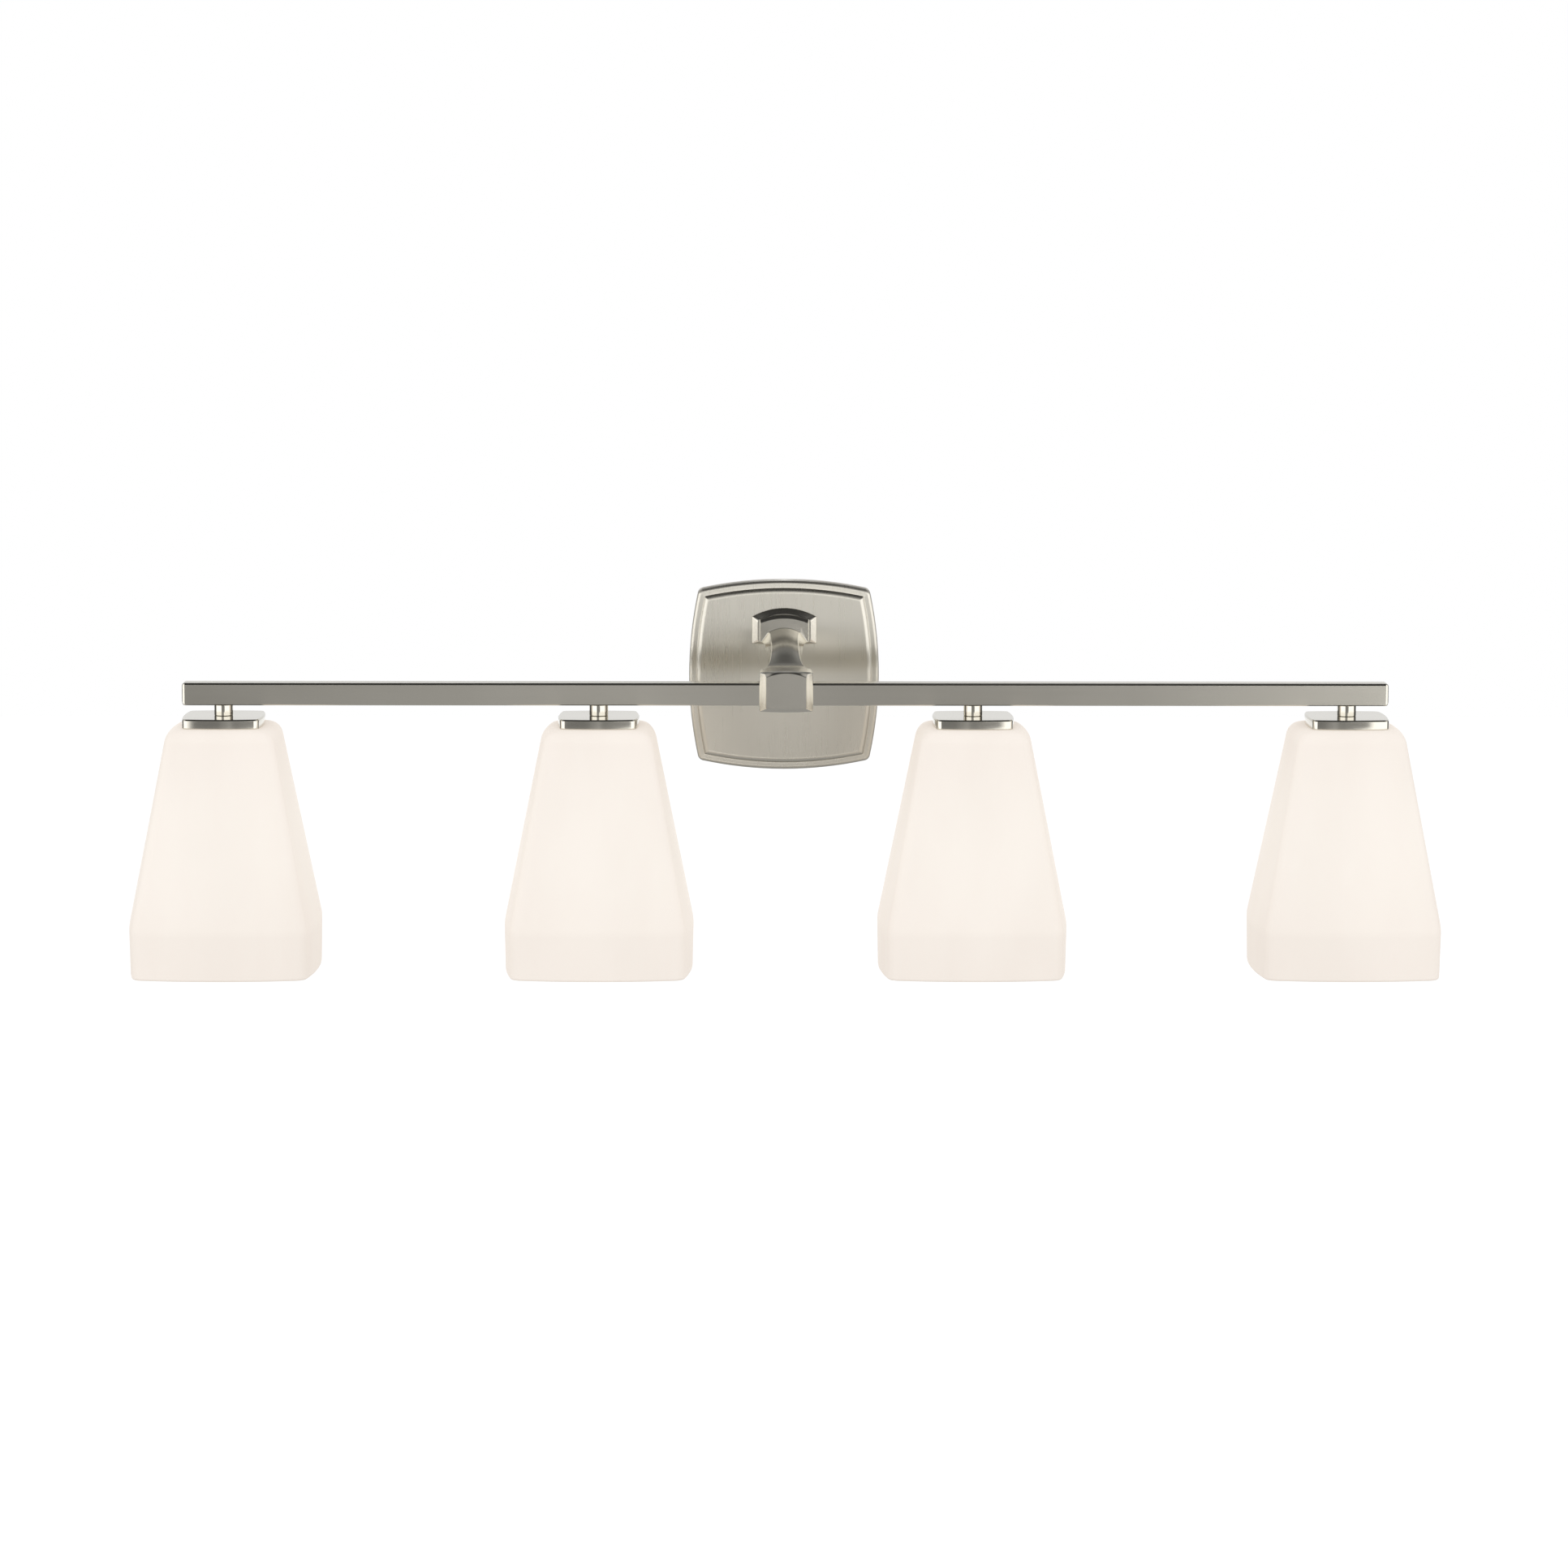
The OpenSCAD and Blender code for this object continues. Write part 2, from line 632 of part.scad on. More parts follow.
// Ring on the socket's thread that draws the glass up to the holder, notched for grip
module ring(i) {
  top = glass_top - glass_wall;
  color("ivory") at_light(i) translate([0, 0, top - ring_height]) difference() {
    cylinder(r = ring_diameter / 2, h = ring_height);
    translate([0, 0, -past]) cylinder(r = socket_diameter / 2 + fit, h = ring_height + 2 * past);
    for (a = [0:30:330]) rotate([0, 0, a]) translate([ring_diameter / 2 + 0.8, 0, -past])
      cylinder(r = 1.8, h = ring_height - 1.5 + past);
  }
}

// Glass: bowed square in plan, upright skirt, straight taper, rounded shoulder, flat top
function shade_profile(inset, lid) = rounded_path(
  [
    [rim_width / 2 - inset, rim_level],
    [skirt_width / 2 - inset, rim_level + skirt_height],
    [shoulder_width / 2 - inset, glass_top - lid],
    [socket_diameter / 4, glass_top - lid]
  ],
  [0, 24 - inset, shoulder_radius - inset * 0.8, 0], 5);

function shade_ring(point) =
  let (
    share = point[0] / (skirt_width / 2),
    bow = shade_bow * (0.35 * share + 0.65 * share * share),
    corner = shade_corner * (0.2 + 0.8 * share)
  )
  at_level(bowed_square(point[0], sweep_of(point[0], bow), min(corner, point[0] * 0.5), 6, 3), point[1]);

module shade(i) {
  outer = shade_profile(0, 0);
  inner = shade_profile(glass_wall, glass_wall);
  below = [inner[0][0], rim_level - past];
  color(opal) at_light(i) difference() {
    loft([for (p = outer) shade_ring(p)]);
    loft([for (p = concat([below], inner)) shade_ring(p)]);
    translate([0, 0, glass_top - glass_wall - past])
      cylinder(r = socket_diameter / 2 + fitter_clearance, h = glass_wall + 2 * past);
  }
}

// Screw base: contact button, insulating cone and threaded shell
base_shell_top = base_tip - 4.5;
base_shell_length = 20.5;
base_end = base_shell_top - base_shell_length;

module bulb_base(i) {
  r = base_diameter / 2;
  outline = concat(
    [[0, base_tip], [4, base_tip], [4.8, base_tip - 0.8], [4.8, base_tip - 1.4], [r - 3, base_shell_top]],
    [for (k = [0:4]) each [[r - 0.9, base_shell_top - 0.6 - 3.6 * k], [r, base_shell_top - 1.8 - 3.6 * k],
      [r, base_shell_top - 2.6 - 3.6 * k], [r - 0.9, base_shell_top - 3.8 - 3.6 * k]]],
    [[r - 0.4, base_end], [0, base_end]]
  );
  color(zinc) at_light(i) rotate_extrude() polygon(outline);
}

// Hollow glass bulb: a round globe that a smooth neck joins to the base
function bulb_outline(inset) =
  let (
    globe = bulb_diameter / 2,
    middle = bulb_drop - globe,
    neck = base_diameter / 2 + 0.4,
    join = 50,
    s1 = middle - globe * cos(join),
    r1 = globe * sin(join),
    slope = 1 / tan(join),
    neck_run = s1 - 3
  )
  concat(
    [for (k = [0:8]) let (t = k / 8, h = t * t * (3 - 2 * t), g = t * t * (t - 1))
      [blend(neck, r1, h) + g * slope * neck_run - inset, base_end - 3 - t * neck_run]],
    [for (a = [join + 10:10:170])
      [(globe - inset) * sin(a), base_end - middle + (globe - inset) * cos(a)]]
  );

module bulb(i) {
  glass = 1;
  outer = bulb_outline(0);
  inner = bulb_outline(glass);
  bottom = base_end - bulb_drop;
  outline = concat(
    [[outer[0][0], base_end]], outer, [[0, bottom]], [[0, bottom + glass]],
    [for (k = [len(inner) - 1:-1:0]) inner[k]], [[inner[0][0], base_end]]
  );
  color("white") at_light(i) rotate_extrude() polygon(outline);
}

// Leads. Each runs along the bar, drops through every stem, and runs down the arm to its connector.
connector_depth = -8.5;
connector_side = 30;
connector_top = 25;
connector_length = 20;
connector_tip = 3.4;
connector_skirt = 5.4;
lead_turn = boss_back + 2.6;

module leads(side, level) {
  y = -bar_reach + side * lead_offset;
  lift = level - branch_level;
  far = light_x(light_count - 1);
  rod([[-far, y, level], [far, y, level]], lead_radius);
  for (i = [0:light_count - 1])
    rod([[light_x(i), y, level], [light_x(i), y, contact_level + 0.3]], lead_radius);
  for (x = concat([0], [for (i = [0:light_count - 1]) light_x(i)]))
    translate([x, y, level]) sphere(r = lead_radius + bend_swell, $fn = 24);
  rod([
    [0, y, level], [0, -bar_reach + bar_half - past, level],
    [0, bore_turn, foot_rise + lift], [0, lead_turn, foot_rise + lift],
    [side * connector_side, lead_turn, foot_rise + lift],
    [side * connector_side, connector_depth, foot_rise + lift - 3],
    [side * connector_side, connector_depth, connector_top - 6]
  ], lead_radius);
}

module line_leads() {
  color([0.08, 0.08, 0.08]) leads(-1, line_level);
}

module neutral_leads() {
  color([0.92, 0.92, 0.90]) leads(1, neutral_level);
}

// Twist-on connectors over the ends of the leads
module connector(x, top) {
  translate([x, connector_depth, top - connector_length]) difference() {
    cylinder(r1 = connector_tip, r2 = connector_skirt, h = connector_length);
    translate([0, 0, connector_length / 2]) cylinder(r = lead_radius + 0.3, h = connector_length / 2 + past);
  }
}

module wire_connectors() {
  color("orange") {
    connector(-connector_side, connector_top);
    connector(connector_side, connector_top);
    connector(-ground_side, ground_level - 6);
  }
}

backplate();
mounting_bracket();
locking_screws();
ground_screw();
arm();
arm_washer();
arm_nut();
head_screw();
bar();
end_cap(-1);  // end_cap_left
end_cap(1);  // end_cap_right
stem_nuts();
stem(0);  // stem_1
stem(1);  // stem_2
stem(2);  // stem_3
stem(3);  // stem_4
holder(0);  // holder_1
holder(1);  // holder_2
holder(2);  // holder_3
holder(3);  // holder_4
socket(0);  // socket_1
socket(1);  // socket_2
socket(2);  // socket_3
socket(3);  // socket_4
screw_shells();
centre_contacts();
ring(0);  // ring_1
ring(1);  // ring_2
ring(2);  // ring_3
ring(3);  // ring_4
shade(0);  // shade_1
shade(1);  // shade_2
shade(2);  // shade_3
shade(3);  // shade_4
bulb_base(0);  // bulb_base_1
bulb_base(1);  // bulb_base_2
bulb_base(2);  // bulb_base_3
bulb_base(3);  // bulb_base_4
bulb(0);  // bulb_1
bulb(1);  // bulb_2
bulb(2);  // bulb_3
bulb(3);  // bulb_4
line_leads();
neutral_leads();
ground_lead();
wire_connectors();
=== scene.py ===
import math

import bmesh
import bpy
from mathutils import Matrix, Vector


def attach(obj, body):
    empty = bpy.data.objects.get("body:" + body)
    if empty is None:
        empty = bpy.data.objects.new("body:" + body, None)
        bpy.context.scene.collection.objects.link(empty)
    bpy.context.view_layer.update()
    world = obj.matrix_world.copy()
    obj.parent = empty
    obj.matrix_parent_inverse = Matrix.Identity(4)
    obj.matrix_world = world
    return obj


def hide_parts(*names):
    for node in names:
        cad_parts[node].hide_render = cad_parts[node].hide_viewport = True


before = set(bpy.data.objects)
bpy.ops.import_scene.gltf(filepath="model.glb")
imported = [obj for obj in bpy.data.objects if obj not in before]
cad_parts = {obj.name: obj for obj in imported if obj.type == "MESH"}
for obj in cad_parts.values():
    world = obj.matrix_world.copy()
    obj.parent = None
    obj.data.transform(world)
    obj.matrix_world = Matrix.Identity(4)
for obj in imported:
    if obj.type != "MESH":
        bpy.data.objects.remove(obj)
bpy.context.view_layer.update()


# Camera: a long lens far back from the wall, a little above the bar and a little left of its
# middle, pointed down at the middle of the whole light.
mm = 0.001
turn, rise, roll = [math.radians(angle) for angle in (-0.729, 7.84, 0.1275)]
stand_off = 3.2066
aim = Vector((-1.1, -112, -59.2)) * mm

scene = bpy.context.scene
scene.view_settings.view_transform = "Standard"
back = Vector((math.sin(turn) * math.cos(rise), -math.cos(turn) * math.cos(rise), math.sin(rise)))
right = Vector((0, 0, 1)).cross(back).normalized()
up = back.cross(right)
camera = bpy.data.objects.new("camera", bpy.data.cameras.new("camera"))
camera.data.lens = 114.44
camera.data.sensor_width = 36
camera.data.clip_end = 50
camera.matrix_world = Matrix.Translation(aim + back * stand_off) @ Matrix((
    right * math.cos(roll) + up * math.sin(roll), up * math.cos(roll) - right * math.sin(roll), back,
)).transposed().to_4x4()
scene.collection.objects.link(camera)
scene.camera = camera


# Room: a pale studio with soft, even light. Metal mirrors a white card at each side and one
# behind, a shaded front with a darker gap low in it, dark corners and a dark ceiling. The floor
# is plain and can be seen through from below.
right_level, left_level, back_level = 1.7, 1.75, 0.88
front_level, gap_level, corner_level = 0.43, 0.27, 0.12
upper_front, upper_back, upper_aside = 0.5, 0.22, 0.4
ceiling_level, ceiling_aside = 0.04, 0.45
below_level = 0.45
ambient = 0.78

right_start, right_end = (0.085, 0.15), (84, 104)
left_start, left_end = (0.32, 0.42), (86, 106)
back_start = (146, 164)
gap_bottom, gap_top, gap_spread = (-0.27, -0.19), (-0.08, 0.0), 0.18
front_end, upper_turn, ceiling_turn, aside_start = (-0.1, 0.1), (-0.2, 0.2), (0, 0.4), (0.15, 0.4)
cards_top, ceiling_edge, below_edge = (0.3, 0.5), (0.62, 0.86), (0.45, 0.7)
ripple_scale = 3
front_ripple = [(0, 0.85), (0.18, 0.9), (0.26, 1.18), (0.36, 1.25), (0.465, 1.66), (0.53, 1.06),
                (0.65, 1.0), (0.75, 1.12)]

lamps = (("key", (-0.5, -1.7, 2.0), (2.2, 1.4), 6),
         ("right_fill", (1.7, -1.3, 0.1), (1.2, 1.6), 4),
         ("left_fill", (-1.7, -1.3, 0.1), (1.2, 1.6), 4))
floor_size = 7
floor_middle = (0, 2.3, -0.75)
floor_colour = (0.42, 0.42, 0.42, 1)
floor_glow = 0.74
floor_near, floor_far, far_start = 0.05, 0.75, (0.4, 1.6)


class Value:
    """A socket's value. Sums written on it add Math nodes to its tree."""

    def __init__(self, tree, socket):
        self.tree, self.socket = tree, socket

    def maths(self, operation, *values):
        return self.tree.node("ShaderNodeMath", {"operation": operation}, dict(enumerate(values)))

    def __add__(self, other):
        return self.maths("ADD", self, other)

    def __sub__(self, other):
        return self.maths("SUBTRACT", self, other)

    def __rsub__(self, other):
        return self.maths("SUBTRACT", other, self)

    def __mul__(self, other):
        return self.maths("MULTIPLY", self, other)

    def __truediv__(self, other):
        return self.maths("DIVIDE", self, other)

    def __pow__(self, other):
        return self.maths("POWER", self, other)

    __radd__, __rmul__ = __add__, __mul__

    def output(self, name):
        """Another output of the same node."""
        return Value(self.tree, self.socket.node.outputs[name])

    def step(self, start, end):
        """0 below start and 1 above end, with a smooth change between."""
        return self.tree.node("ShaderNodeMapRange", {"interpolation_type": "SMOOTHSTEP"},
                              {"Value": self, "From Min": start, "From Max": end})


class Tree:
    """A node tree that is built one node at a time."""

    def __init__(self, tree):
        self.tree = tree

    def node(self, kind, settings=None, sockets=None, output=0):
        made = self.tree.nodes.new(kind)
        for name, setting in (settings or {}).items():
            if name == "stops":
                self.set_stops(made.color_ramp, setting)
            else:
                setattr(made, name, setting)
        self.feed(made, sockets or {})
        return Value(self, made.outputs[output])

    def feed(self, made, sockets):
        for name, value in sockets.items():
            if isinstance(value, Value):
                self.tree.links.new(value.socket, made.inputs[name])
            else:
                made.inputs[name].default_value = value

    def set_stops(self, ramp, stops):
        while len(ramp.elements) < len(stops):
            ramp.elements.new(1)
        for element, (place, grey) in zip(ramp.elements, stops):
            element.position = place
            element.color = (grey, grey, grey, 1)

    def blend(self, factor, first, second):
        """The colour that goes from first to second with factor."""
        return self.node("ShaderNodeMix", {"data_type": "RGBA"},
                         {0: factor, 6: plain(first), 7: plain(second)}, output=2)

    def position(self, scale=(1, 1, 1)):
        """Object coordinates, in metres times this scale."""
        place = self.node("ShaderNodeTexCoord", output="Object")
        return self.node("ShaderNodeMapping", None, {"Vector": place, "Scale": scale})

    def place(self):
        """Object coordinates one by one, the one along the bar first."""
        return self.node("ShaderNodeSeparateXYZ", None, {0: self.position()})

    def noise(self, scale, detail=2):
        """Noise with this many grains to a metre along each axis."""
        return self.node("ShaderNodeTexNoise", None, {
            "Vector": self.position(scale), "Scale": 1, "Detail": detail, "Roughness": 0.5})

    def rays(self):
        """Whether a ray comes from the camera, and whether it comes off metal or through glass."""
        ray = self.node("ShaderNodeLightPath", output="Is Camera Ray")
        glossy, through = ray.output("Is Glossy Ray"), ray.output("Is Transmission Ray")
        return ray, glossy.maths("MAXIMUM", glossy, through)


def plain(colour):
    return colour if isinstance(colour, Value) else (*colour, 1)


def cover(level, share, other):
    """The level where this share of it is covered by the other."""
    return level * (1 - share) + other * share


room = bpy.data.worlds.new("room")
room.use_nodes = True
scene.world = room
sky = Tree(room.node_tree)
sideways = sky.node("ShaderNodeSeparateXYZ", None, {0: sky.node("ShaderNodeTexCoord", output="Generated")})
depth, height = sideways.output("Y"), sideways.output("Z")
bearing = sideways.maths("ARCTAN2", sideways, 0 - depth) * (180 / math.pi)
gap = height.step(*gap_bottom) * (1 - height.step(*gap_top))
right_edge = (sideways - gap * gap_spread).step(*right_start)
left_edge = (0 - sideways).step(*left_start)
right_card = right_edge * (1 - bearing.step(*right_end))
left_card = left_edge * (1 - (0 - bearing).step(*left_end))
back_card = bearing.maths("ABSOLUTE", bearing).step(*back_start)
ahead = (1 - right_edge) * (1 - left_edge) * (1 - depth.step(*front_end))
ripple = sky.node("ShaderNodeValToRGB", {"stops": front_ripple}, {0: sideways * ripple_scale + 0.5})
level = (right_card * right_level + left_card * left_level + back_card * back_level
         + ahead * cover(front_level, gap, gap_level) * ripple
         + (1 - right_card - left_card - back_card - ahead) * corner_level)
aside = sideways.maths("ABSOLUTE", sideways).step(*aside_start)
upper = cover(upper_front, depth.step(*upper_turn), upper_back + aside * upper_aside)
level = cover(level, height.step(*cards_top), upper)
ceiling = ceiling_level + aside * depth.step(*ceiling_turn) * ceiling_aside
level = cover(level, height.step(*ceiling_edge), ceiling)
level = cover(level, (0 - height).step(*below_edge), below_level)
seen, mirrored = sky.rays()
sky.feed(room.node_tree.nodes["Background"], {
    "Color": cover(cover(ambient, mirrored, level), seen, 1), "Strength": 1})

for name, place, size, watts in lamps:
    lamp = bpy.data.objects.new(name, bpy.data.lights.new(name, "AREA"))
    lamp.data.shape = "RECTANGLE"
    lamp.data.size, lamp.data.size_y = size
    lamp.data.energy = watts
    lamp.location = place
    lamp.rotation_euler = (aim - Vector(place)).to_track_quat("-Z", "Y").to_euler()
    lamp.visible_glossy = False
    scene.collection.objects.link(lamp)

bpy.ops.object.select_all(action="DESELECT")
bpy.ops.mesh.primitive_plane_add(size=floor_size, location=floor_middle)
floor = bpy.context.object
floor.name = "floor"
pale = bpy.data.materials.new("pale_floor")
pale.use_nodes = True
boards = Tree(pale.node_tree)
seen, mirrored = boards.rays()
distance = boards.place().output("Y")
surface = pale.node_tree.nodes["Principled BSDF"]
boards.feed(surface, {
    "Base Color": floor_colour, "Roughness": 0.9, "Specular IOR Level": 0, "Emission Strength": 1,
    "Emission Color": seen * floor_glow + mirrored * (floor_near + distance.step(*far_start) * floor_far)})
boards.feed(pale.node_tree.nodes["Material Output"], {"Surface": boards.node("ShaderNodeMixShader", None, {
    0: boards.node("ShaderNodeNewGeometry", output="Backfacing"), 1: Value(boards, surface.outputs[0]),
    2: boards.node("ShaderNodeBsdfTransparent")})})
floor.data.materials.append(pale)


# Backplate: a hollow cast plate with four bowed sides, a rounded edge, a narrow ledge and a
# raised field. It is brushed upright, plated in satin nickel and hooks on the wall bracket.
plate_size = 125.4
plate_bow = 6.3
plate_corner = 4.5
plate_depth = 18
plate_wall = 2
field_rise = 2.8
ledge_width = 5
field_slope = 3.2
field_shape = [(-0.7, 0), (-0.25, 0.12), (0.05, 0.45), (0.3, 1.2), (0.9, 1.95), (2.0, 2.5),
               (field_slope, field_rise)]
edge_round = 2.4
wall_chamfer = 0.3
tightest_corner = 0.8
foot_level = 30.5
boss_radius = 8
hole_ends = (-25, -10)
lock_block = (10, 10, 3)
hook_rib = (24, 2, 4.6)
block_edge = 0.4

nickel_dark, nickel_light = (0.61, 0.582, 0.51), (0.70, 0.67, 0.595)
streak_length = 0.3
cloud_grain = (14, 14, 14)
scratch_tone, streak_tone, cloud_tone = 0.06, 0.08, 0.5
uneven_gloss = 0.03


def sweep_of(half, bow):
    """Radius of the arc that rises by bow over a side."""
    return ((half - bow) ** 2 + bow ** 2) / (2 * bow)


def spread(start, end, steps):
    return [start + (end - start) * k / steps for k in range(steps + 1)]


def bowed_square(half, sweep, corner, side_steps=16, corner_steps=8):
    """Points round a square whose sides bow out by one arc and whose corners are rounded."""
    side_middle = half - sweep
    reach = sweep - corner
    corner_middle = (side_middle + math.sqrt(2 * reach ** 2 - side_middle ** 2)) / 2
    angle = math.atan2(corner_middle, corner_middle - side_middle)
    side = [(side_middle + sweep * math.cos(t), sweep * math.sin(t))
            for t in spread(-angle, angle, side_steps)]
    bend = [(corner_middle + corner * math.cos(t), corner_middle + corner * math.sin(t))
            for t in spread(angle, math.pi / 2 - angle, corner_steps)]
    return [(x * c - y * s, x * s + y * c)
            for c, s in ((1, 0), (0, 1), (-1, 0), (0, -1)) for x, y in side + bend[1:-1]]


def draw_out(name, rings, closed=False):
    """A skin drawn out of its first ring, one ring after another. Points are in millimetres. Its
    ends are capped, or are joined to each other where it is closed."""
    bpy.ops.object.select_all(action="DESELECT")
    bpy.ops.mesh.primitive_circle_add(vertices=len(rings[0]), fill_type="NOTHING" if closed else "NGON")
    piece = bpy.context.object
    piece.name = piece.data.name = name
    bpy.ops.object.mode_set(mode="EDIT")
    bpy.ops.mesh.select_mode(type="EDGE" if closed else "FACE")
    bpy.ops.mesh.select_all(action="SELECT")
    first = order = list(range(len(rings[0])))
    for k, ring in enumerate(rings):
        if k:
            bpy.ops.mesh.extrude_region_move()
        mesh = bmesh.from_edit_mesh(piece.data)
        mesh.verts.ensure_lookup_table()
        if k:
            order = [next(e.other_vert(mesh.verts[v]).index for e in mesh.verts[v].link_edges
                          if e.other_vert(mesh.verts[v]).select) for v in order]
        for v, point in zip(order, ring):
            mesh.verts[v].co = Vector(point) * mm
        bmesh.update_edit_mesh(piece.data)
    if closed:
        ends = set(first + order)
        pick(piece, lambda edge: all(v.index in ends for v in edge.verts))
        bpy.ops.mesh.bridge_edge_loops()
    bpy.ops.mesh.select_all(action="SELECT")
    bpy.ops.mesh.remove_doubles(threshold=0.005 * mm)
    bpy.ops.mesh.normals_make_consistent(inside=False)
    bpy.ops.object.mode_set(mode="OBJECT")
    return piece


def pick(piece, wanted):
    """Selects the edges that are wanted, in edit mode."""
    bpy.ops.mesh.select_mode(type="EDGE")
    bpy.ops.mesh.select_all(action="DESELECT")
    mesh = bmesh.from_edit_mesh(piece.data)
    mesh.verts.ensure_lookup_table()
    for edge in mesh.edges:
        edge.select = wanted(edge)
    bmesh.update_edit_mesh(piece.data)


def select_only(piece):
    bpy.ops.object.select_all(action="DESELECT")
    piece.select_set(True)
    bpy.context.view_layer.objects.active = piece


def smooth(piece, angle):
    """Smooth shading that leaves the broad flat faces flat."""
    select_only(piece)
    bpy.ops.object.shade_smooth_by_angle(angle=math.radians(angle))
    flat = piece.modifiers.new("flat", "WEIGHTED_NORMAL")
    flat.keep_sharp = True
    flat.weight = 100
    bpy.ops.object.modifier_apply(modifier="flat")


def block(name, middle, size):
    """A block with rounded edges."""
    bpy.ops.object.select_all(action="DESELECT")
    bpy.ops.mesh.primitive_cube_add(size=1, location=Vector(middle) * mm, scale=Vector(size) * mm)
    piece = bpy.context.object
    piece.name = piece.data.name = name
    bpy.ops.object.transform_apply(location=True, rotation=True, scale=True)
    bpy.ops.object.mode_set(mode="EDIT")
    bpy.ops.mesh.select_all(action="SELECT")
    bpy.ops.mesh.bevel(offset=block_edge * mm, segments=4, affect="EDGES")
    bpy.ops.object.mode_set(mode="OBJECT")
    return piece


def join(piece, *others):
    select_only(piece)
    for other in others:
        other.select_set(True)
    bpy.ops.object.join()


def fit(piece, finish, stands_for, body="fixture"):
    """Gives a finished piece its finish, hangs it on its body and hides the solids that it stands for."""
    piece.data.materials.clear()
    piece.data.materials.append(finish)
    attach(piece, body)
    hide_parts(*stands_for)


def finish_of(name, **constants):
    """A new material, its tree and its shader, with the shader's unchanging sockets set."""
    material = bpy.data.materials.new(name)
    material.use_nodes = True
    shader = material.node_tree.nodes["Principled BSDF"]
    tree = Tree(material.node_tree)
    tree.feed(shader, {socket.replace("_", " "): value for socket, value in constants.items()})
    return material, tree, shader


def bump(tree, height, distance):
    """A bump whose height of 1 stands up by this many millimetres."""
    return tree.node("ShaderNodeBump", None, {"Height": height, "Distance": distance * mm, "Strength": 1})


def satin_nickel(name, scale, relief, roughness, spread_out=0.0, turned_by=0.0):
    """Lacquered satin nickel with brushed scratches of this scale and relief, broader streaks
    in their tone, and a faint cloudiness in the plate and the lacquer. Its gloss spreads out
    across the brushing, turned by this share of a circle."""
    material, tree, shader = finish_of(name, Metallic=1.0, Anisotropic=spread_out,
                                       Anisotropic_Rotation=turned_by)
    scratches = tree.noise(scale)
    streaks = tree.noise(tuple(s * streak_length for s in scale))
    clouds = tree.noise(cloud_grain)
    tone = ((streaks - 0.5) * streak_tone + (clouds - 0.5) * cloud_tone
            + (scratches - 0.5) * scratch_tone + 0.5)
    rough = roughness + (scratches + streaks + clouds - 1.5) * uneven_gloss
    tree.feed(shader, {"Base Color": tree.blend(tone.step(0, 1), nickel_dark, nickel_light),
                       "Roughness": rough, "Normal": bump(tree, scratches, relief)})
    return material


plate_half = plate_size / 2
plate_sweep = sweep_of(plate_half, plate_bow)


def plate_ring(inset, y):
    corner = max(plate_corner - inset, tightest_corner)
    return [(x, y, z) for x, z in bowed_square(plate_half - inset, plate_sweep - inset, corner)]


def circle(radius, y, level):
    """Points round a circle that faces the wall."""
    return [(radius * math.cos(a), y, level + radius * math.sin(a)) for a in spread(0, math.tau, 48)[:-1]]


ledge = -plate_depth + field_rise
hollow_edge = ledge_width + field_slope + plate_wall / 2
plate = draw_out("plate_casting", [
    plate_ring(hollow_edge, -plate_depth + plate_wall),
    plate_ring(hollow_edge, ledge + plate_wall),
    plate_ring(plate_wall, ledge + plate_wall),
    plate_ring(plate_wall, -wall_chamfer),
    plate_ring(plate_wall - wall_chamfer, 0),
    plate_ring(wall_chamfer, 0),
    plate_ring(0, -wall_chamfer),
    *[plate_ring(edge_round * (1 - math.cos(a)), ledge + edge_round * (1 - math.sin(a)))
      for a in spread(0, math.pi / 2, 7)],
    *[plate_ring(ledge_width + inset, ledge - stands) for inset, stands in field_shape]])
cutter = draw_out("boss_hole", [circle(boss_radius, y, foot_level) for y in hole_ends])
select_only(plate)
hole = plate.modifiers.new("hole", "BOOLEAN")
hole.operation = "DIFFERENCE"
hole.object = cutter
bpy.ops.object.modifier_apply(modifier="hole")
bpy.data.objects.remove(cutter)
smooth(plate, 30)
join(plate,
     block("lock_block_left", (-10, -8, -59.8), lock_block),
     block("lock_block_right", (10, -8, -59.8), lock_block),
     block("hook_rib", (0, -4.7, 59), hook_rib))
brushed_upright = satin_nickel("nickel_brushed_upright", scale=(3000, 3000, 30), relief=0.002,
                               roughness=0.28, spread_out=1.0)
fit(plate, brushed_upright, stands_for=["backplate"])


# Arm: one casting with an arched, chamfered foot, a smaller step on it, a waisted neck that
# slopes down, and a chamfered head round the bar. A threaded boss holds it on the plate.
bar_reach = 116
bar_size = 14.3
foot_width = 42.6
foot_height = 18.2
foot_arch = 5.4
foot_step = 3.4
foot_chamfer = 3.7
foot_underside = 0.4
foot_shape = [(0, 0), (0, 0.3), (0.12, 0.55), (0.4, 0.85), (foot_chamfer - 0.3, foot_step - 0.25),
              (foot_chamfer, foot_step)]
step_side = 5.2
step_top = 1.8
step_under = 1.4
step_rise = 0.6
step_root = 0.2
step_lean = 0.8
step_chamfer = 2.2
chamfer_shape = [(0, 1), (0.08, 0.84), (0.22, 0.7), (0.84, 0.12), (0.94, 0.04), (1, 0)]
waist_width = 22.4
waist_start = 0.34
flare_start = 0.48
flare_power = 2.2
neck_draft = 2
neck_shoulder = 22
neck_arch = 1.5
neck_rise = 1.9
neck_bend = 100
neck_bend_place = (0.62, 0.44)
neck_round = 0.9
neck_ring_gap = 1.5
under_drop = 6.2
under_start = 0.7
under_power = 1.8
head_width = 34.4
head_flare = 0.8
head_over = 8.2
head_under = 3.6
head_back_wall = 4
head_top_run = 6.3
head_bend = 30
head_front = 6
head_side_chamfer = 4.4
head_edge_chamfer = 2.4
head_arch = 0.9
chamfer_arch = 1.0
face_arch = 2.6
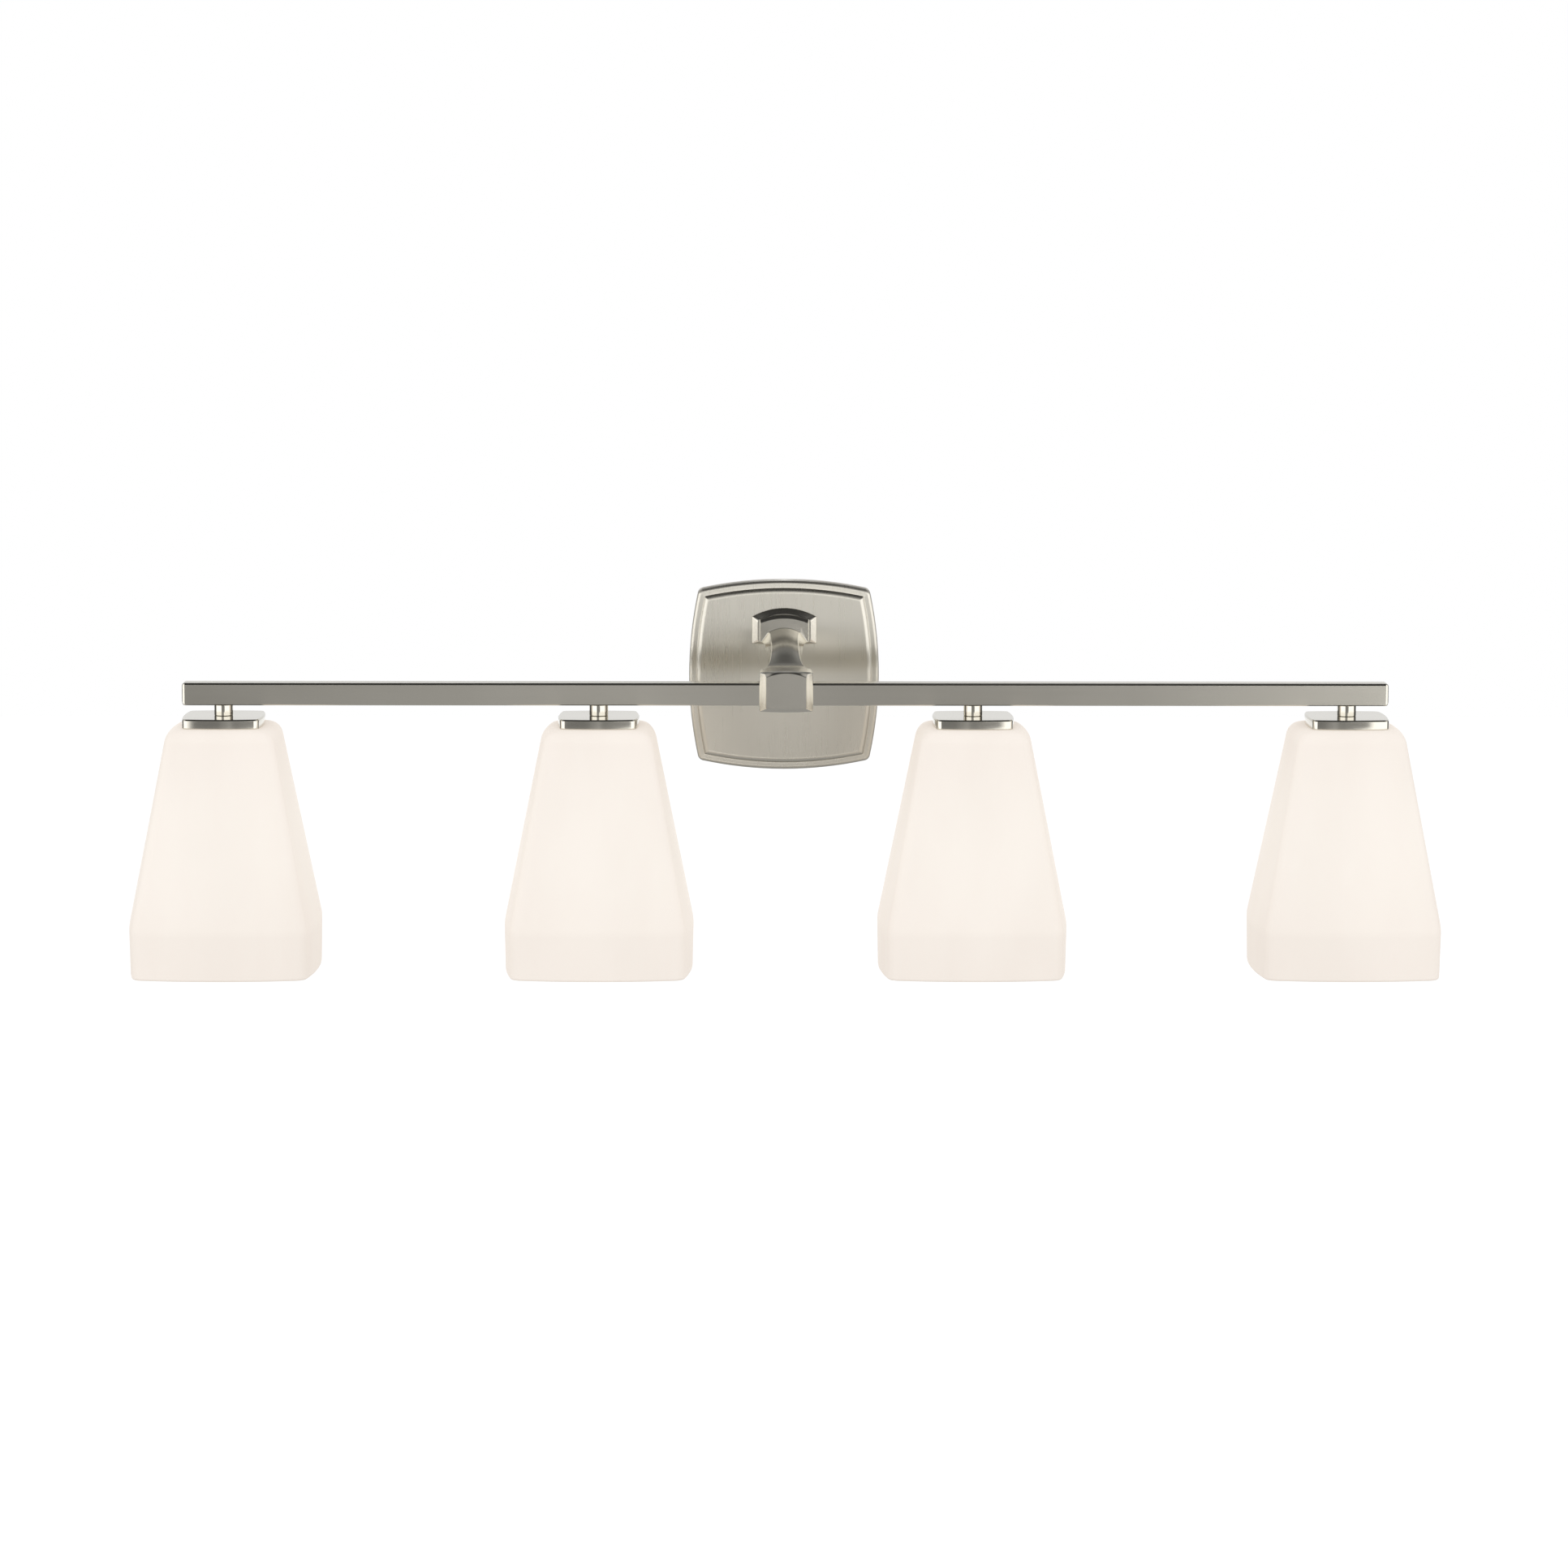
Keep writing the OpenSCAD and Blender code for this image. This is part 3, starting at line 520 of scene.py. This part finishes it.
face_shape = [(1, 1.8, 0.55, chamfer_arch), (0.35, 0.6, 0.85, face_arch), (0.05, 0.1, 1.1, face_arch),
              (0, 0, 1.15, face_arch)]
thread_radius = 7.9
thread_depth = 0.35
half_pitch = 0.5
half_turns = 18
boss_end = -8


def mix(start, end, t):
    return start + (end - start) * t


def growth(t, start, power):
    """0 up to start, then growing to 1 by a power."""
    return max(0, (t - start) / (1 - start)) ** power


def quarter_round(x, z, radius, start):
    """Points round a quarter circle about (x, z), from an angle in degrees."""
    return [(x + radius * math.cos(math.radians(a)), z + radius * math.sin(math.radians(a)))
            for a in spread(start, start + 90, 6)]


def arched_ring(y, width, low, high, rise, draft=0.0, edge=0.5, sag=0.6):
    """Points round an outline with upright sides, an arched top and rounded corners. The arch
    rises from its ends to high, the underside sags, and the sides lean in by draft."""
    base, top, shoulder = width / 2 - edge, width / 2 - draft - edge, high - rise - edge
    points = [(u * base, low - sag * (1 - u * u)) for u in spread(-1, 1, 20)]
    points += quarter_round(base, low + edge, edge, -90)[1:]
    points += quarter_round(top, shoulder, edge, 0)[1:]
    points += [(u * top, high - rise * u * u) for u in spread(1, -1, 20)][1:]
    points += quarter_round(-top, shoulder, edge, 90)[1:]
    points += quarter_round(-base, low + edge, edge, 180)[1:-1]
    return [(x, y, z) for x, z in points]


def rounded_path(points, radii, steps=12):
    """A path whose inner corners are rounded by these radii."""
    path = []
    for k, (point, radius) in enumerate(zip(points, radii)):
        corner = Vector(point)
        if not radius:
            path.append(corner)
            continue
        before = (Vector(points[k - 1]) - corner).normalized()
        after = (Vector(points[k + 1]) - corner).normalized()
        half_angle = before.angle(after) / 2
        middle = corner + (before + after).normalized() * radius / math.sin(half_angle)
        reach = radius / math.tan(half_angle)
        start, end = corner + before * reach - middle, corner + after * reach - middle
        path += [middle + start.lerp(end, s).normalized() * radius for s in spread(0, 1, steps)]
    return path


def filled(path, gap):
    """A path with points added, so that no two neighbours are further apart than gap."""
    full = [path[0]]
    for start, end in zip(path, path[1:]):
        full += [start.lerp(end, s) for s in spread(0, 1, math.ceil((end - start).length / gap))[1:]]
    return full


bar_half = bar_size / 2
foot_low = foot_level - foot_height / 2
foot_high = foot_level + foot_height / 2 + foot_arch
foot_front = -plate_depth - foot_step
neck_back = foot_front - step_rise - step_chamfer
neck_start = foot_level + neck_rise
neck_end_width = head_width - 2 * head_flare
head_back = -bar_reach + bar_half + head_back_wall
head_face = -bar_reach - bar_half - head_front
head_top = bar_half + head_over
head_bottom = -bar_half - head_under
chamfer_back = head_face + head_side_chamfer
face_width = head_width - 2 * head_side_chamfer
face_bottom = head_bottom + head_edge_chamfer
arch_radius = ((foot_width / 2) ** 2 + foot_arch ** 2) / (2 * foot_arch)


def arch_over(width):
    """Rise of the foot's arch over a narrower width."""
    return arch_radius - math.sqrt(arch_radius ** 2 - (width / 2) ** 2)


step_width = foot_width - 2 * step_side
step_arch = arch_over(step_width)
step_low = foot_low + step_under
step_high = foot_high - foot_arch - step_top + step_arch
bend_out, bend_down = neck_bend_place
top_line = filled(rounded_path([
    (neck_back, step_high - step_chamfer), (neck_back - 0.1, neck_start),
    (mix(neck_back, head_back, bend_out), mix(neck_start, head_top, bend_down)),
    (head_back + head_top_run, head_top), (head_back, head_top)],
    [0, 0.3, neck_bend, head_bend, 0], 9), neck_ring_gap)

foot = []
for inset, stands in foot_shape:
    width, under = foot_width - 2 * inset, foot_underside * inset
    foot.append(arched_ring(-plate_depth - stands, width, foot_low + under, foot_high - inset,
                            arch_over(width), edge=0.5 + under))

step = [arched_ring(foot_front + step_root * (wider - 1), step_width + 2 * step_root * wider,
                    step_low - step_root * wider, step_high + step_root * wider, step_arch)
        for wider in (1, 0)]
for share, back in chamfer_shape:
    step.append(arched_ring(neck_back + step_chamfer * back, step_width - step_lean * share,
                            step_low + step_lean / 2 * share, step_high - step_chamfer * share, step_arch))

neck = []
for y, level in top_line[1:-1]:
    t = (neck_back - y) / (neck_back - head_back)
    near_foot = 1 - math.sqrt(1 - (1 - t / waist_start) ** 2) if t < waist_start else 0
    near_head = growth(t, flare_start, flare_power)
    low = mix(step_low, head_bottom + under_drop, t) - under_drop * growth(t, under_start, under_power)
    width = (waist_width + (step_width - step_lean - waist_width) * near_foot
             + (neck_end_width - waist_width) * near_head)
    top_width = mix(waist_width - 2 * neck_draft, neck_shoulder, near_foot)
    draft = (width - mix(top_width, width, near_head)) / 2
    arch = mix(mix(neck_arch, step_arch, near_foot), head_arch, near_head)
    rounding = 0.5 + neck_round * (1 - near_foot) * (1 - near_head)
    neck.append(arched_ring(y, width, low, level, arch, draft, rounding))

head = [arched_ring(y, width, head_bottom + lift, head_top, arch, edge=0.6) for y, width, lift, arch in (
    (head_back, neck_end_width, 0, head_arch),
    (mix(head_back, chamfer_back, 0.5), mix(neck_end_width, head_width, 0.42), 0, head_arch),
    (chamfer_back + 0.4, head_width, 0, head_arch),
    (chamfer_back - 0.3, head_width - 0.6, 0.2, chamfer_arch))]
head += [arched_ring(head_face + back, face_width + wider, face_bottom - 0.55 * back, head_top - drop, arch,
                     edge=0.4, sag=0.3) for back, wider, drop, arch in face_shape]

arm = draw_out("arm_casting", foot + step + neck + head)
smooth(arm, 30)
thread = [(thread_radius - thread_depth * (k % 2), boss_end - 0.9 - half_pitch * k)
          for k in range(half_turns)]
boss = draw_out("boss", [circle(radius, y, foot_level) for radius, y in (
    (thread_radius - 1.3, boss_end), (thread_radius - 0.3, boss_end - 0.6), *thread,
    (thread_radius, -plate_depth - 0.5))])
smooth(boss, 35)
join(arm, boss)
cast = satin_nickel("nickel_cast", scale=(5000, 60, 5000), relief=0.03, roughness=0.18)
fit(arm, cast, stands_for=["arm"])


# Bar: a square tube of drawn steel with chamfered upper edges and sharper lower ones, brushed
# along its length and plated. A pillowed cap is pressed into each end.
light_spacing = 240
bar_overhang = 24.2
bar_length = 3 * light_spacing + 2 * bar_overhang
upper_chamfer, upper_softening = 1.3, 0.2
lower_chamfer, lower_softening = 0.5, 0.15
cap_crown = 1.8
cap_corner = 0.9
crown_narrowing = 3.6
crown_corner = 0.8


def lies_along(edge, side):
    """Whether an edge runs along the bar, above its middle for 1 or below it for -1."""
    first, last = [v.co for v in edge.verts]
    return abs(last.x - first.x) > bar_size * mm and first.z * side > 0


bpy.ops.object.select_all(action="DESELECT")
bpy.ops.mesh.primitive_cube_add(size=1, location=(0, -bar_reach * mm, 0),
                                scale=(bar_length * mm, bar_size * mm, bar_size * mm))
tube = bpy.context.object
tube.name = tube.data.name = "bar_tube"
bpy.ops.object.transform_apply(location=True, rotation=True, scale=True)
bpy.ops.object.mode_set(mode="EDIT")
for side, width, steps in ((1, upper_chamfer, 1), (-1, lower_chamfer, 1),
                           (1, upper_softening, 2), (-1, lower_softening, 2)):
    pick(tube, lambda edge: lies_along(edge, side))
    bpy.ops.mesh.bevel(offset=width * mm, segments=steps, affect="EDGES")
bpy.ops.object.mode_set(mode="OBJECT")
smooth(tube, 30)
brushed_along = satin_nickel("nickel_brushed_along", scale=(30, 3000, 3000), relief=0.004,
                             roughness=0.2, spread_out=0.95, turned_by=0.25)
fit(tube, brushed_along, stands_for=["bar"])


def rounded_square(size, corner):
    """Points round a square with rounded corners."""
    reach = size / 2 - corner
    return [point for x, y, start in ((1, 1, 0), (-1, 1, 90), (-1, -1, 180), (1, -1, 270))
            for point in quarter_round(x * reach, y * reach, corner, start)]


cap_finish = satin_nickel("nickel_cap", scale=(5000, 60, 5000), relief=0.03, roughness=0.16)
crown = [(0, 0)] + [(cap_crown * math.sin(a), 1 - math.cos(a))
                    for a in spread(math.pi / 10, math.pi / 2, 8)]
for side, word in ((-1, "left"), (1, "right")):
    cap = draw_out("bar_cap_" + word, [
        [(side * (bar_length / 2 + out), -bar_reach + y, z) for y, z in rounded_square(
            bar_size - crown_narrowing * share, cap_corner + crown_corner * share)]
        for out, share in crown])
    smooth(cap, 50)
    fit(cap, cap_finish, stands_for=["end_cap_" + word])


# Stems: four turned steel collars, plated and polished, between the bar and the shade holders.
# Their spigots reach into the tube above and through the holder below.
light_x = [light_spacing * steps for steps in (-1.5, -0.5, 0.5, 1.5)]
stem_radius = 6
stem_gap = 7.1
stem_edge = [(0.4, 0), (0.1, 0.12), (0, 0.4)]
spigot_radius = 4.8
spigot_above = 2
spigot_below = 6
holder_top = -bar_half - stem_gap


def turned(name, outline, steps):
    """A piece turned about the first light's upright axis from (radius, level) points. A point
    on the axis starts as a hair-thin ring, which draw_out merges into one."""
    return draw_out(name, [
        [(light_x[0] + radius * math.cos(a), -bar_reach + radius * math.sin(a), level)
         for a in spread(0, math.tau, steps)[:-1]]
        for radius, level in [(max(radius, 0.001), level) for radius, level in outline]])


def at_each_light(first, name):
    """The piece made for the first light and its copies for the others, numbered from 1."""
    pieces = [first]
    for x in light_x[1:]:
        piece = first.copy()
        piece.data = first.data.copy()
        piece.data.transform(Matrix.Translation(((x - light_x[0]) * mm, 0, 0)))
        scene.collection.objects.link(piece)
        pieces.append(piece)
    for i, piece in enumerate(pieces, 1):
        piece.name = piece.data.name = f"{name}_{i}"
    return pieces


stem_finish = satin_nickel("nickel_turned", scale=(90, 90, 5000), relief=0.01, roughness=0.08)
collar = turned("stem_collar", [
    (spigot_radius, holder_top - spigot_below), (spigot_radius, holder_top),
    *[(stem_radius - inset, holder_top + along) for inset, along in stem_edge],
    *[(stem_radius - inset, -bar_half - along) for inset, along in reversed(stem_edge)],
    (spigot_radius, -bar_half), (spigot_radius, -bar_half + spigot_above)], 64)
smooth(collar, 50)
for i, piece in enumerate(at_each_light(collar, "stem_collar"), 1):
    fit(piece, stem_finish, stands_for=[f"stem_{i}"])


# Holders: four square pans pressed from sheet steel, open below, with slightly bowed sides and
# a narrow chamfer round the top. Each one lies on the flat top of its glass.
holder_size = 52
holder_depth = 6.2
holder_corner = 4
holder_bow = 2.0
holder_wall = 2
lower_edge = 0.3
pan_chamfer = [(0, 0.95), (0.05, 0.82), (0.15, 0.7), (0.75, 0.12), (0.85, 0.03), (1, 0)]
glass_top = holder_top - holder_depth


def pan_ring(inset, level):
    outline = bowed_square(holder_size / 2 - inset, sweep_of(holder_size / 2, holder_bow) - inset,
                           max(holder_corner - inset, 1))
    return [(light_x[0] + u, v - bar_reach, level) for u, v in outline]


holder_finish = satin_nickel("nickel_pressed", scale=(60, 3000, 3000), relief=0.004,
                             roughness=0.11, spread_out=0.5, turned_by=0.25)
pan = draw_out("holder_pan", [
    pan_ring(holder_wall, holder_top - holder_wall), pan_ring(holder_wall, glass_top + lower_edge),
    pan_ring(holder_wall - lower_edge, glass_top), pan_ring(lower_edge, glass_top),
    pan_ring(0, glass_top + lower_edge),
    *[pan_ring(inset, holder_top - drop) for inset, drop in pan_chamfer]])
smooth(pan, 50)
for i, piece in enumerate(at_each_light(pan, "holder_pan"), 1):
    fit(piece, holder_finish, stands_for=[f"holder_{i}"])


# Shades: four mould-blown opal glasses, satin etched outside. Each is a bowed square with a
# flat top, a rounded shoulder, a long taper, a nearly upright skirt and a fire-polished rim.
shade_height = 157
rim_width = 120.4
skirt_width = 121.6
skirt_height = 31
skirt_bend = 24
shoulder_width = 70.6
shoulder_radius = 10.5
shoulder_thinning = 0.8
shade_bow = 5.6
bow_fading = 0.65
shade_corner = 8
narrowest_corner = 0.2
glass_wall = 3.4
glass_hole = 21
hole_margin = 2
rim_level = glass_top - shade_height


def shade_profile(inset):
    return rounded_path(
        [(rim_width / 2 - inset, rim_level), (skirt_width / 2 - inset, rim_level + skirt_height),
         (shoulder_width / 2 - inset, glass_top - inset), (glass_hole + hole_margin, glass_top - inset)],
        [0, skirt_bend - inset, shoulder_radius - inset * shoulder_thinning, 0])


def shade_ring(half, level):
    share = half / (skirt_width / 2)
    bow = shade_bow * mix(share, share ** 2, bow_fading)
    corner = min(shade_corner * mix(narrowest_corner, 1, share), half / 2)
    return [(light_x[0] + u, v - bar_reach, level)
            for u, v in bowed_square(half, sweep_of(half, bow), corner, 20, 10)]


def hole_ring(ring, level):
    """The ring of the round hole in the top, point for point with the ring of the glass."""
    around = [Vector((p[0] - light_x[0], p[1] + bar_reach)).normalized() * glass_hole for p in ring]
    return [(light_x[0] + p.x, p.y - bar_reach, level) for p in around]


outside = [(p.x, p.y) for p in shade_profile(0)]
inside = [(p.x, p.y) for p in shade_profile(glass_wall)]
rim_middle = (outside[0][0] + inside[0][0]) / 2
rim = [(rim_middle - glass_wall / 2 * math.cos(a), rim_level + glass_wall / 2 * (1 - math.sin(a)))
       for a in spread(0, math.pi, 8)]
skin = [shade_ring(half, level) for half, level in outside[:0:-1]]
lip = [shade_ring(half, level) for half, level in reversed(rim)]
lining = [shade_ring(half, level) for half, level in inside[1:]]
glass = draw_out("shade_glass", [
    hole_ring(skin[0], glass_top), *skin, *lip, *lining, hole_ring(lining[-1], glass_top - glass_wall),
], closed=True)
smooth(glass, 45)

# The bulb's light shining through the glass is painted on as a glow in the emission, brightest round the
# bulb and fading warmly towards the rim and the shoulder; it also lifts the whole glass so that its shading
# stays faint. The etched face has a very fine tooth.
lamp_level = -103
glow_width, glow_height = 75 * mm, 66 * mm
glow_fade, glow_unevenness = (0.5, 1.4), 0.35
etched_low, etched_high = (0.49, 0.475, 0.46), (0.52, 0.505, 0.49)
painted_glow_low, painted_glow_high = (0.49, 0.43, 0.373), (0.515, 0.465, 0.407)
spacing = light_spacing * mm

opal, tree, shader = finish_of("opal_glass", Specular_IOR_Level=0.3, Emission_Strength=1.0)
along = tree.place()
outwards, upwards = along.output("Y") + bar_reach * mm, along.output("Z") - lamp_level * mm
from_left = along + 2 * spacing
across = from_left.maths("FLOORED_MODULO", from_left, spacing) - spacing / 2
far = ((across ** 2 + outwards ** 2) / glow_width ** 2 + upwards ** 2 / glow_height ** 2) ** 0.5
cloud = tree.noise((16, 16, 11), detail=3)
# Painted glow: the share of the bulb's light painted into the glass's emission, fading with distance from
# the bulb.
glow = 1 - (far + (cloud - 0.5) * glow_unevenness).step(*glow_fade)
tooth = tree.noise((3500, 3500, 3500))
veins = tree.noise((26, 26, 9), detail=4)
tree.feed(shader, {
    "Base Color": tree.blend(veins.step(0.3, 0.7), etched_low, etched_high),
    "Roughness": 0.42 + tooth * 0.12 + cloud * 0.05,
    "Emission Color": tree.blend(glow, painted_glow_low, painted_glow_high),
    "Normal": bump(tree, tooth, 0.008)})
for i, piece in enumerate(at_each_light(glass, "shade_glass"), 1):
    fit(piece, opal, stands_for=[f"shade_{i}"])


# Bulbs: frosted glass globes with a smooth neck, cemented to a lamp base and lit. Each screws
# into its socket from below.
bulb_diameter = 60
bulb_drop = 82
join_angle = math.radians(50)
base_end = -50.75
base_radius = 13
seat_inset = 0.6
glass_edge = 0.4
collar_drop = 3
frost_low, frost_high = (0.57, 0.56, 0.54), (0.63, 0.62, 0.60)
shine_low, shine_high = (0.23, 0.19, 0.14), (0.42, 0.385, 0.32)
shine_levels = (-62, -84)

globe = bulb_diameter / 2
globe_middle = base_end - (bulb_drop - globe)
join_radius, join_level = globe * math.sin(join_angle), globe_middle + globe * math.cos(join_angle)
collar_radius, collar_level = base_radius + glass_edge, base_end - collar_drop
bulb_outline = [(base_radius - seat_inset, base_end), (collar_radius, base_end - glass_edge)]
for t in spread(0, 1, 20):
    share = t * t * (3 - 2 * t)
    swell = t * t * (t - 1) / math.tan(join_angle) * (collar_level - join_level)
    bulb_outline.append((mix(collar_radius, join_radius, share) + swell, mix(collar_level, join_level, t)))
bulb_outline += [(globe * math.sin(a), globe_middle + globe * math.cos(a))
                 for a in spread(join_angle, math.pi, 30)[1:]]
bulb = turned("bulb_globe", bulb_outline, 72)
smooth(bulb, 60)

frosted, tree, shader = finish_of("bulb_frosted", Emission_Strength=1.0)
frost = tree.noise((1800, 1800, 1800))
shine = (tree.place().output("Z") * 1000).step(*shine_levels)
tree.feed(shader, {
    "Base Color": tree.blend(frost, frost_low, frost_high),
    "Roughness": 0.35 + frost * 0.1,
    "Emission Color": tree.blend(shine, shine_low, shine_high),
    "Normal": bump(tree, frost, 0.006)})
for i, piece in enumerate(at_each_light(bulb, "bulb_globe"), 1):
    fit(piece, frosted, stands_for=[f"bulb_{i}"], body=f"lamp_{i}")


# Bracket, washer, nuts and screws: pressed and turned steel, zinc plated. The bracket is
# screwed to the wall box, and the others hold the plate, the arm, the bar and the stems.
zinc_darkening = 0.82


def dress(material, *names):
    for name in names:
        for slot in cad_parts[name].material_slots:
            slot.material = material


def zinc_plate(name, colour, grain):
    """Bright zinc: a bluish film over rolled steel, with faint patches and fine scratches."""
    material, tree, shader = finish_of(name, Metallic=1.0)
    film = tree.noise((60, 60, 60), detail=3)
    scratches = tree.noise(grain)
    darker = tuple(c * zinc_darkening for c in colour)
    tree.feed(shader, {"Base Color": tree.blend(film.step(0.3, 0.7), darker, colour),
                       "Roughness": 0.3 + film * 0.12 + scratches * 0.08,
                       "Normal": bump(tree, scratches, 0.01)})
    return material


dress(zinc_plate("zinc_rolled", (0.60, 0.62, 0.66), (1400, 1400, 40)), "mounting_bracket")
dress(zinc_plate("zinc_turned", (0.62, 0.64, 0.68), (900, 900, 900)),
      "locking_screws", "arm_washer", "arm_nut", "head_screw", "stem_nuts")
dress(zinc_plate("ground_green", (0.10, 0.34, 0.13), (900, 900, 900)), "ground_screw")


# Sockets and rings: glazed porcelain sockets hang from the stems, and a moulded ring on each
# socket's thread draws the glass up to its holder.
glaze_pooled, glaze_thin = (0.80, 0.77, 0.70), (0.86, 0.84, 0.79)
phenolic_low, phenolic_high = (0.74, 0.70, 0.62), (0.80, 0.77, 0.70)

porcelain, tree, shader = finish_of("porcelain_glaze", Coat_Roughness=0.08)
pool = tree.noise((70, 70, 70), detail=3)
specks = tree.noise((900, 900, 900), detail=1)
tree.feed(shader, {"Base Color": tree.blend(pool, glaze_pooled, glaze_thin),
                   "Roughness": 0.16 + pool * 0.1, "Coat Weight": 0.3 + pool * 0.3,
                   "Normal": bump(tree, pool + specks * 0.06, 0.05)})
dress(porcelain, *[f"socket_{i}" for i in range(1, 5)])

phenolic, tree, shader = finish_of("phenolic_moulded")
flow = tree.noise((120, 120, 40), detail=4)
pits = tree.noise((1600, 1600, 1600))
tree.feed(shader, {"Base Color": tree.blend(flow, phenolic_low, phenolic_high),
                   "Roughness": 0.45 + pits * 0.15, "Normal": bump(tree, pits, 0.02)})
dress(phenolic, *[f"ring_{i}" for i in range(1, 5)])


# Contacts and lamp bases: pressed brass inside the sockets, and rolled aluminium threads
# with a dark glass insulator and a solder button on the bulbs.
brass_bright, brass_tarnished = (0.80, 0.60, 0.27), (0.58, 0.40, 0.17)
base_low, base_high = (0.66, 0.66, 0.65), (0.78, 0.78, 0.76)
insulator_black = (0.02, 0.02, 0.022)
insulator_bottom, insulator_top = (-30.4, -30.1), (-27.2, -26.9)

brass, tree, shader = finish_of("brass_pressed", Metallic=1.0)
tarnish = tree.noise((180, 180, 180), detail=3)
tree.feed(shader, {"Base Color": tree.blend(tarnish.step(0.35, 0.7), brass_bright, brass_tarnished),
                   "Roughness": 0.22 + tarnish * 0.2, "Normal": bump(tree, tarnish, 0.02)})
dress(brass, "screw_shells", "centre_contacts")

aluminium, tree, shader = finish_of("lamp_base_rolled")
level = tree.place().output("Z") * 1000
insulator = level.step(*insulator_bottom) * (1 - level.step(*insulator_top))
rolled = tree.noise((90, 90, 1500))
metal = tree.blend(rolled, base_low, base_high)
tree.feed(shader, {"Base Color": tree.blend(insulator, metal, insulator_black),
                   "Metallic": 1 - insulator, "Roughness": 0.28 + rolled * 0.14 - insulator * 0.12,
                   "Normal": bump(tree, rolled, 0.015)})
dress(aluminium, *[f"bulb_base_{i}" for i in range(1, 5)])


# Leads: stranded copper in extruded insulation, black for line and white for neutral, a bare
# copper ground lead, and moulded twist-on connectors over their joints.
copper_bright, copper_oxide = (0.86, 0.46, 0.29), (0.50, 0.24, 0.14)


def insulation(name, low, high):
    material, tree, shader = finish_of(name)
    dust = tree.noise((220, 220, 220), detail=3)
    ripple = tree.noise((1500, 1500, 1500), detail=1)
    tree.feed(shader, {"Base Color": tree.blend(dust, low, high), "Roughness": 0.4 + dust * 0.2,
                       "Normal": bump(tree, ripple, 0.012)})
    return material


dress(insulation("insulation_black", (0.012, 0.012, 0.013), (0.030, 0.029, 0.028)), "line_leads")
dress(insulation("insulation_white", (0.70, 0.69, 0.66), (0.80, 0.79, 0.77)), "neutral_leads")
dress(insulation("connector_orange", (0.70, 0.17, 0.02), (0.82, 0.24, 0.035)), "wire_connectors")

copper, tree, shader = finish_of("copper_drawn", Metallic=1.0)
oxide = tree.noise((300, 300, 300), detail=3)
tree.feed(shader, {"Base Color": tree.blend(oxide.step(0.35, 0.75), copper_bright, copper_oxide),
                   "Roughness": 0.25 + oxide * 0.2, "Normal": bump(tree, oxide, 0.01)})
dress(copper, "ground_lead")
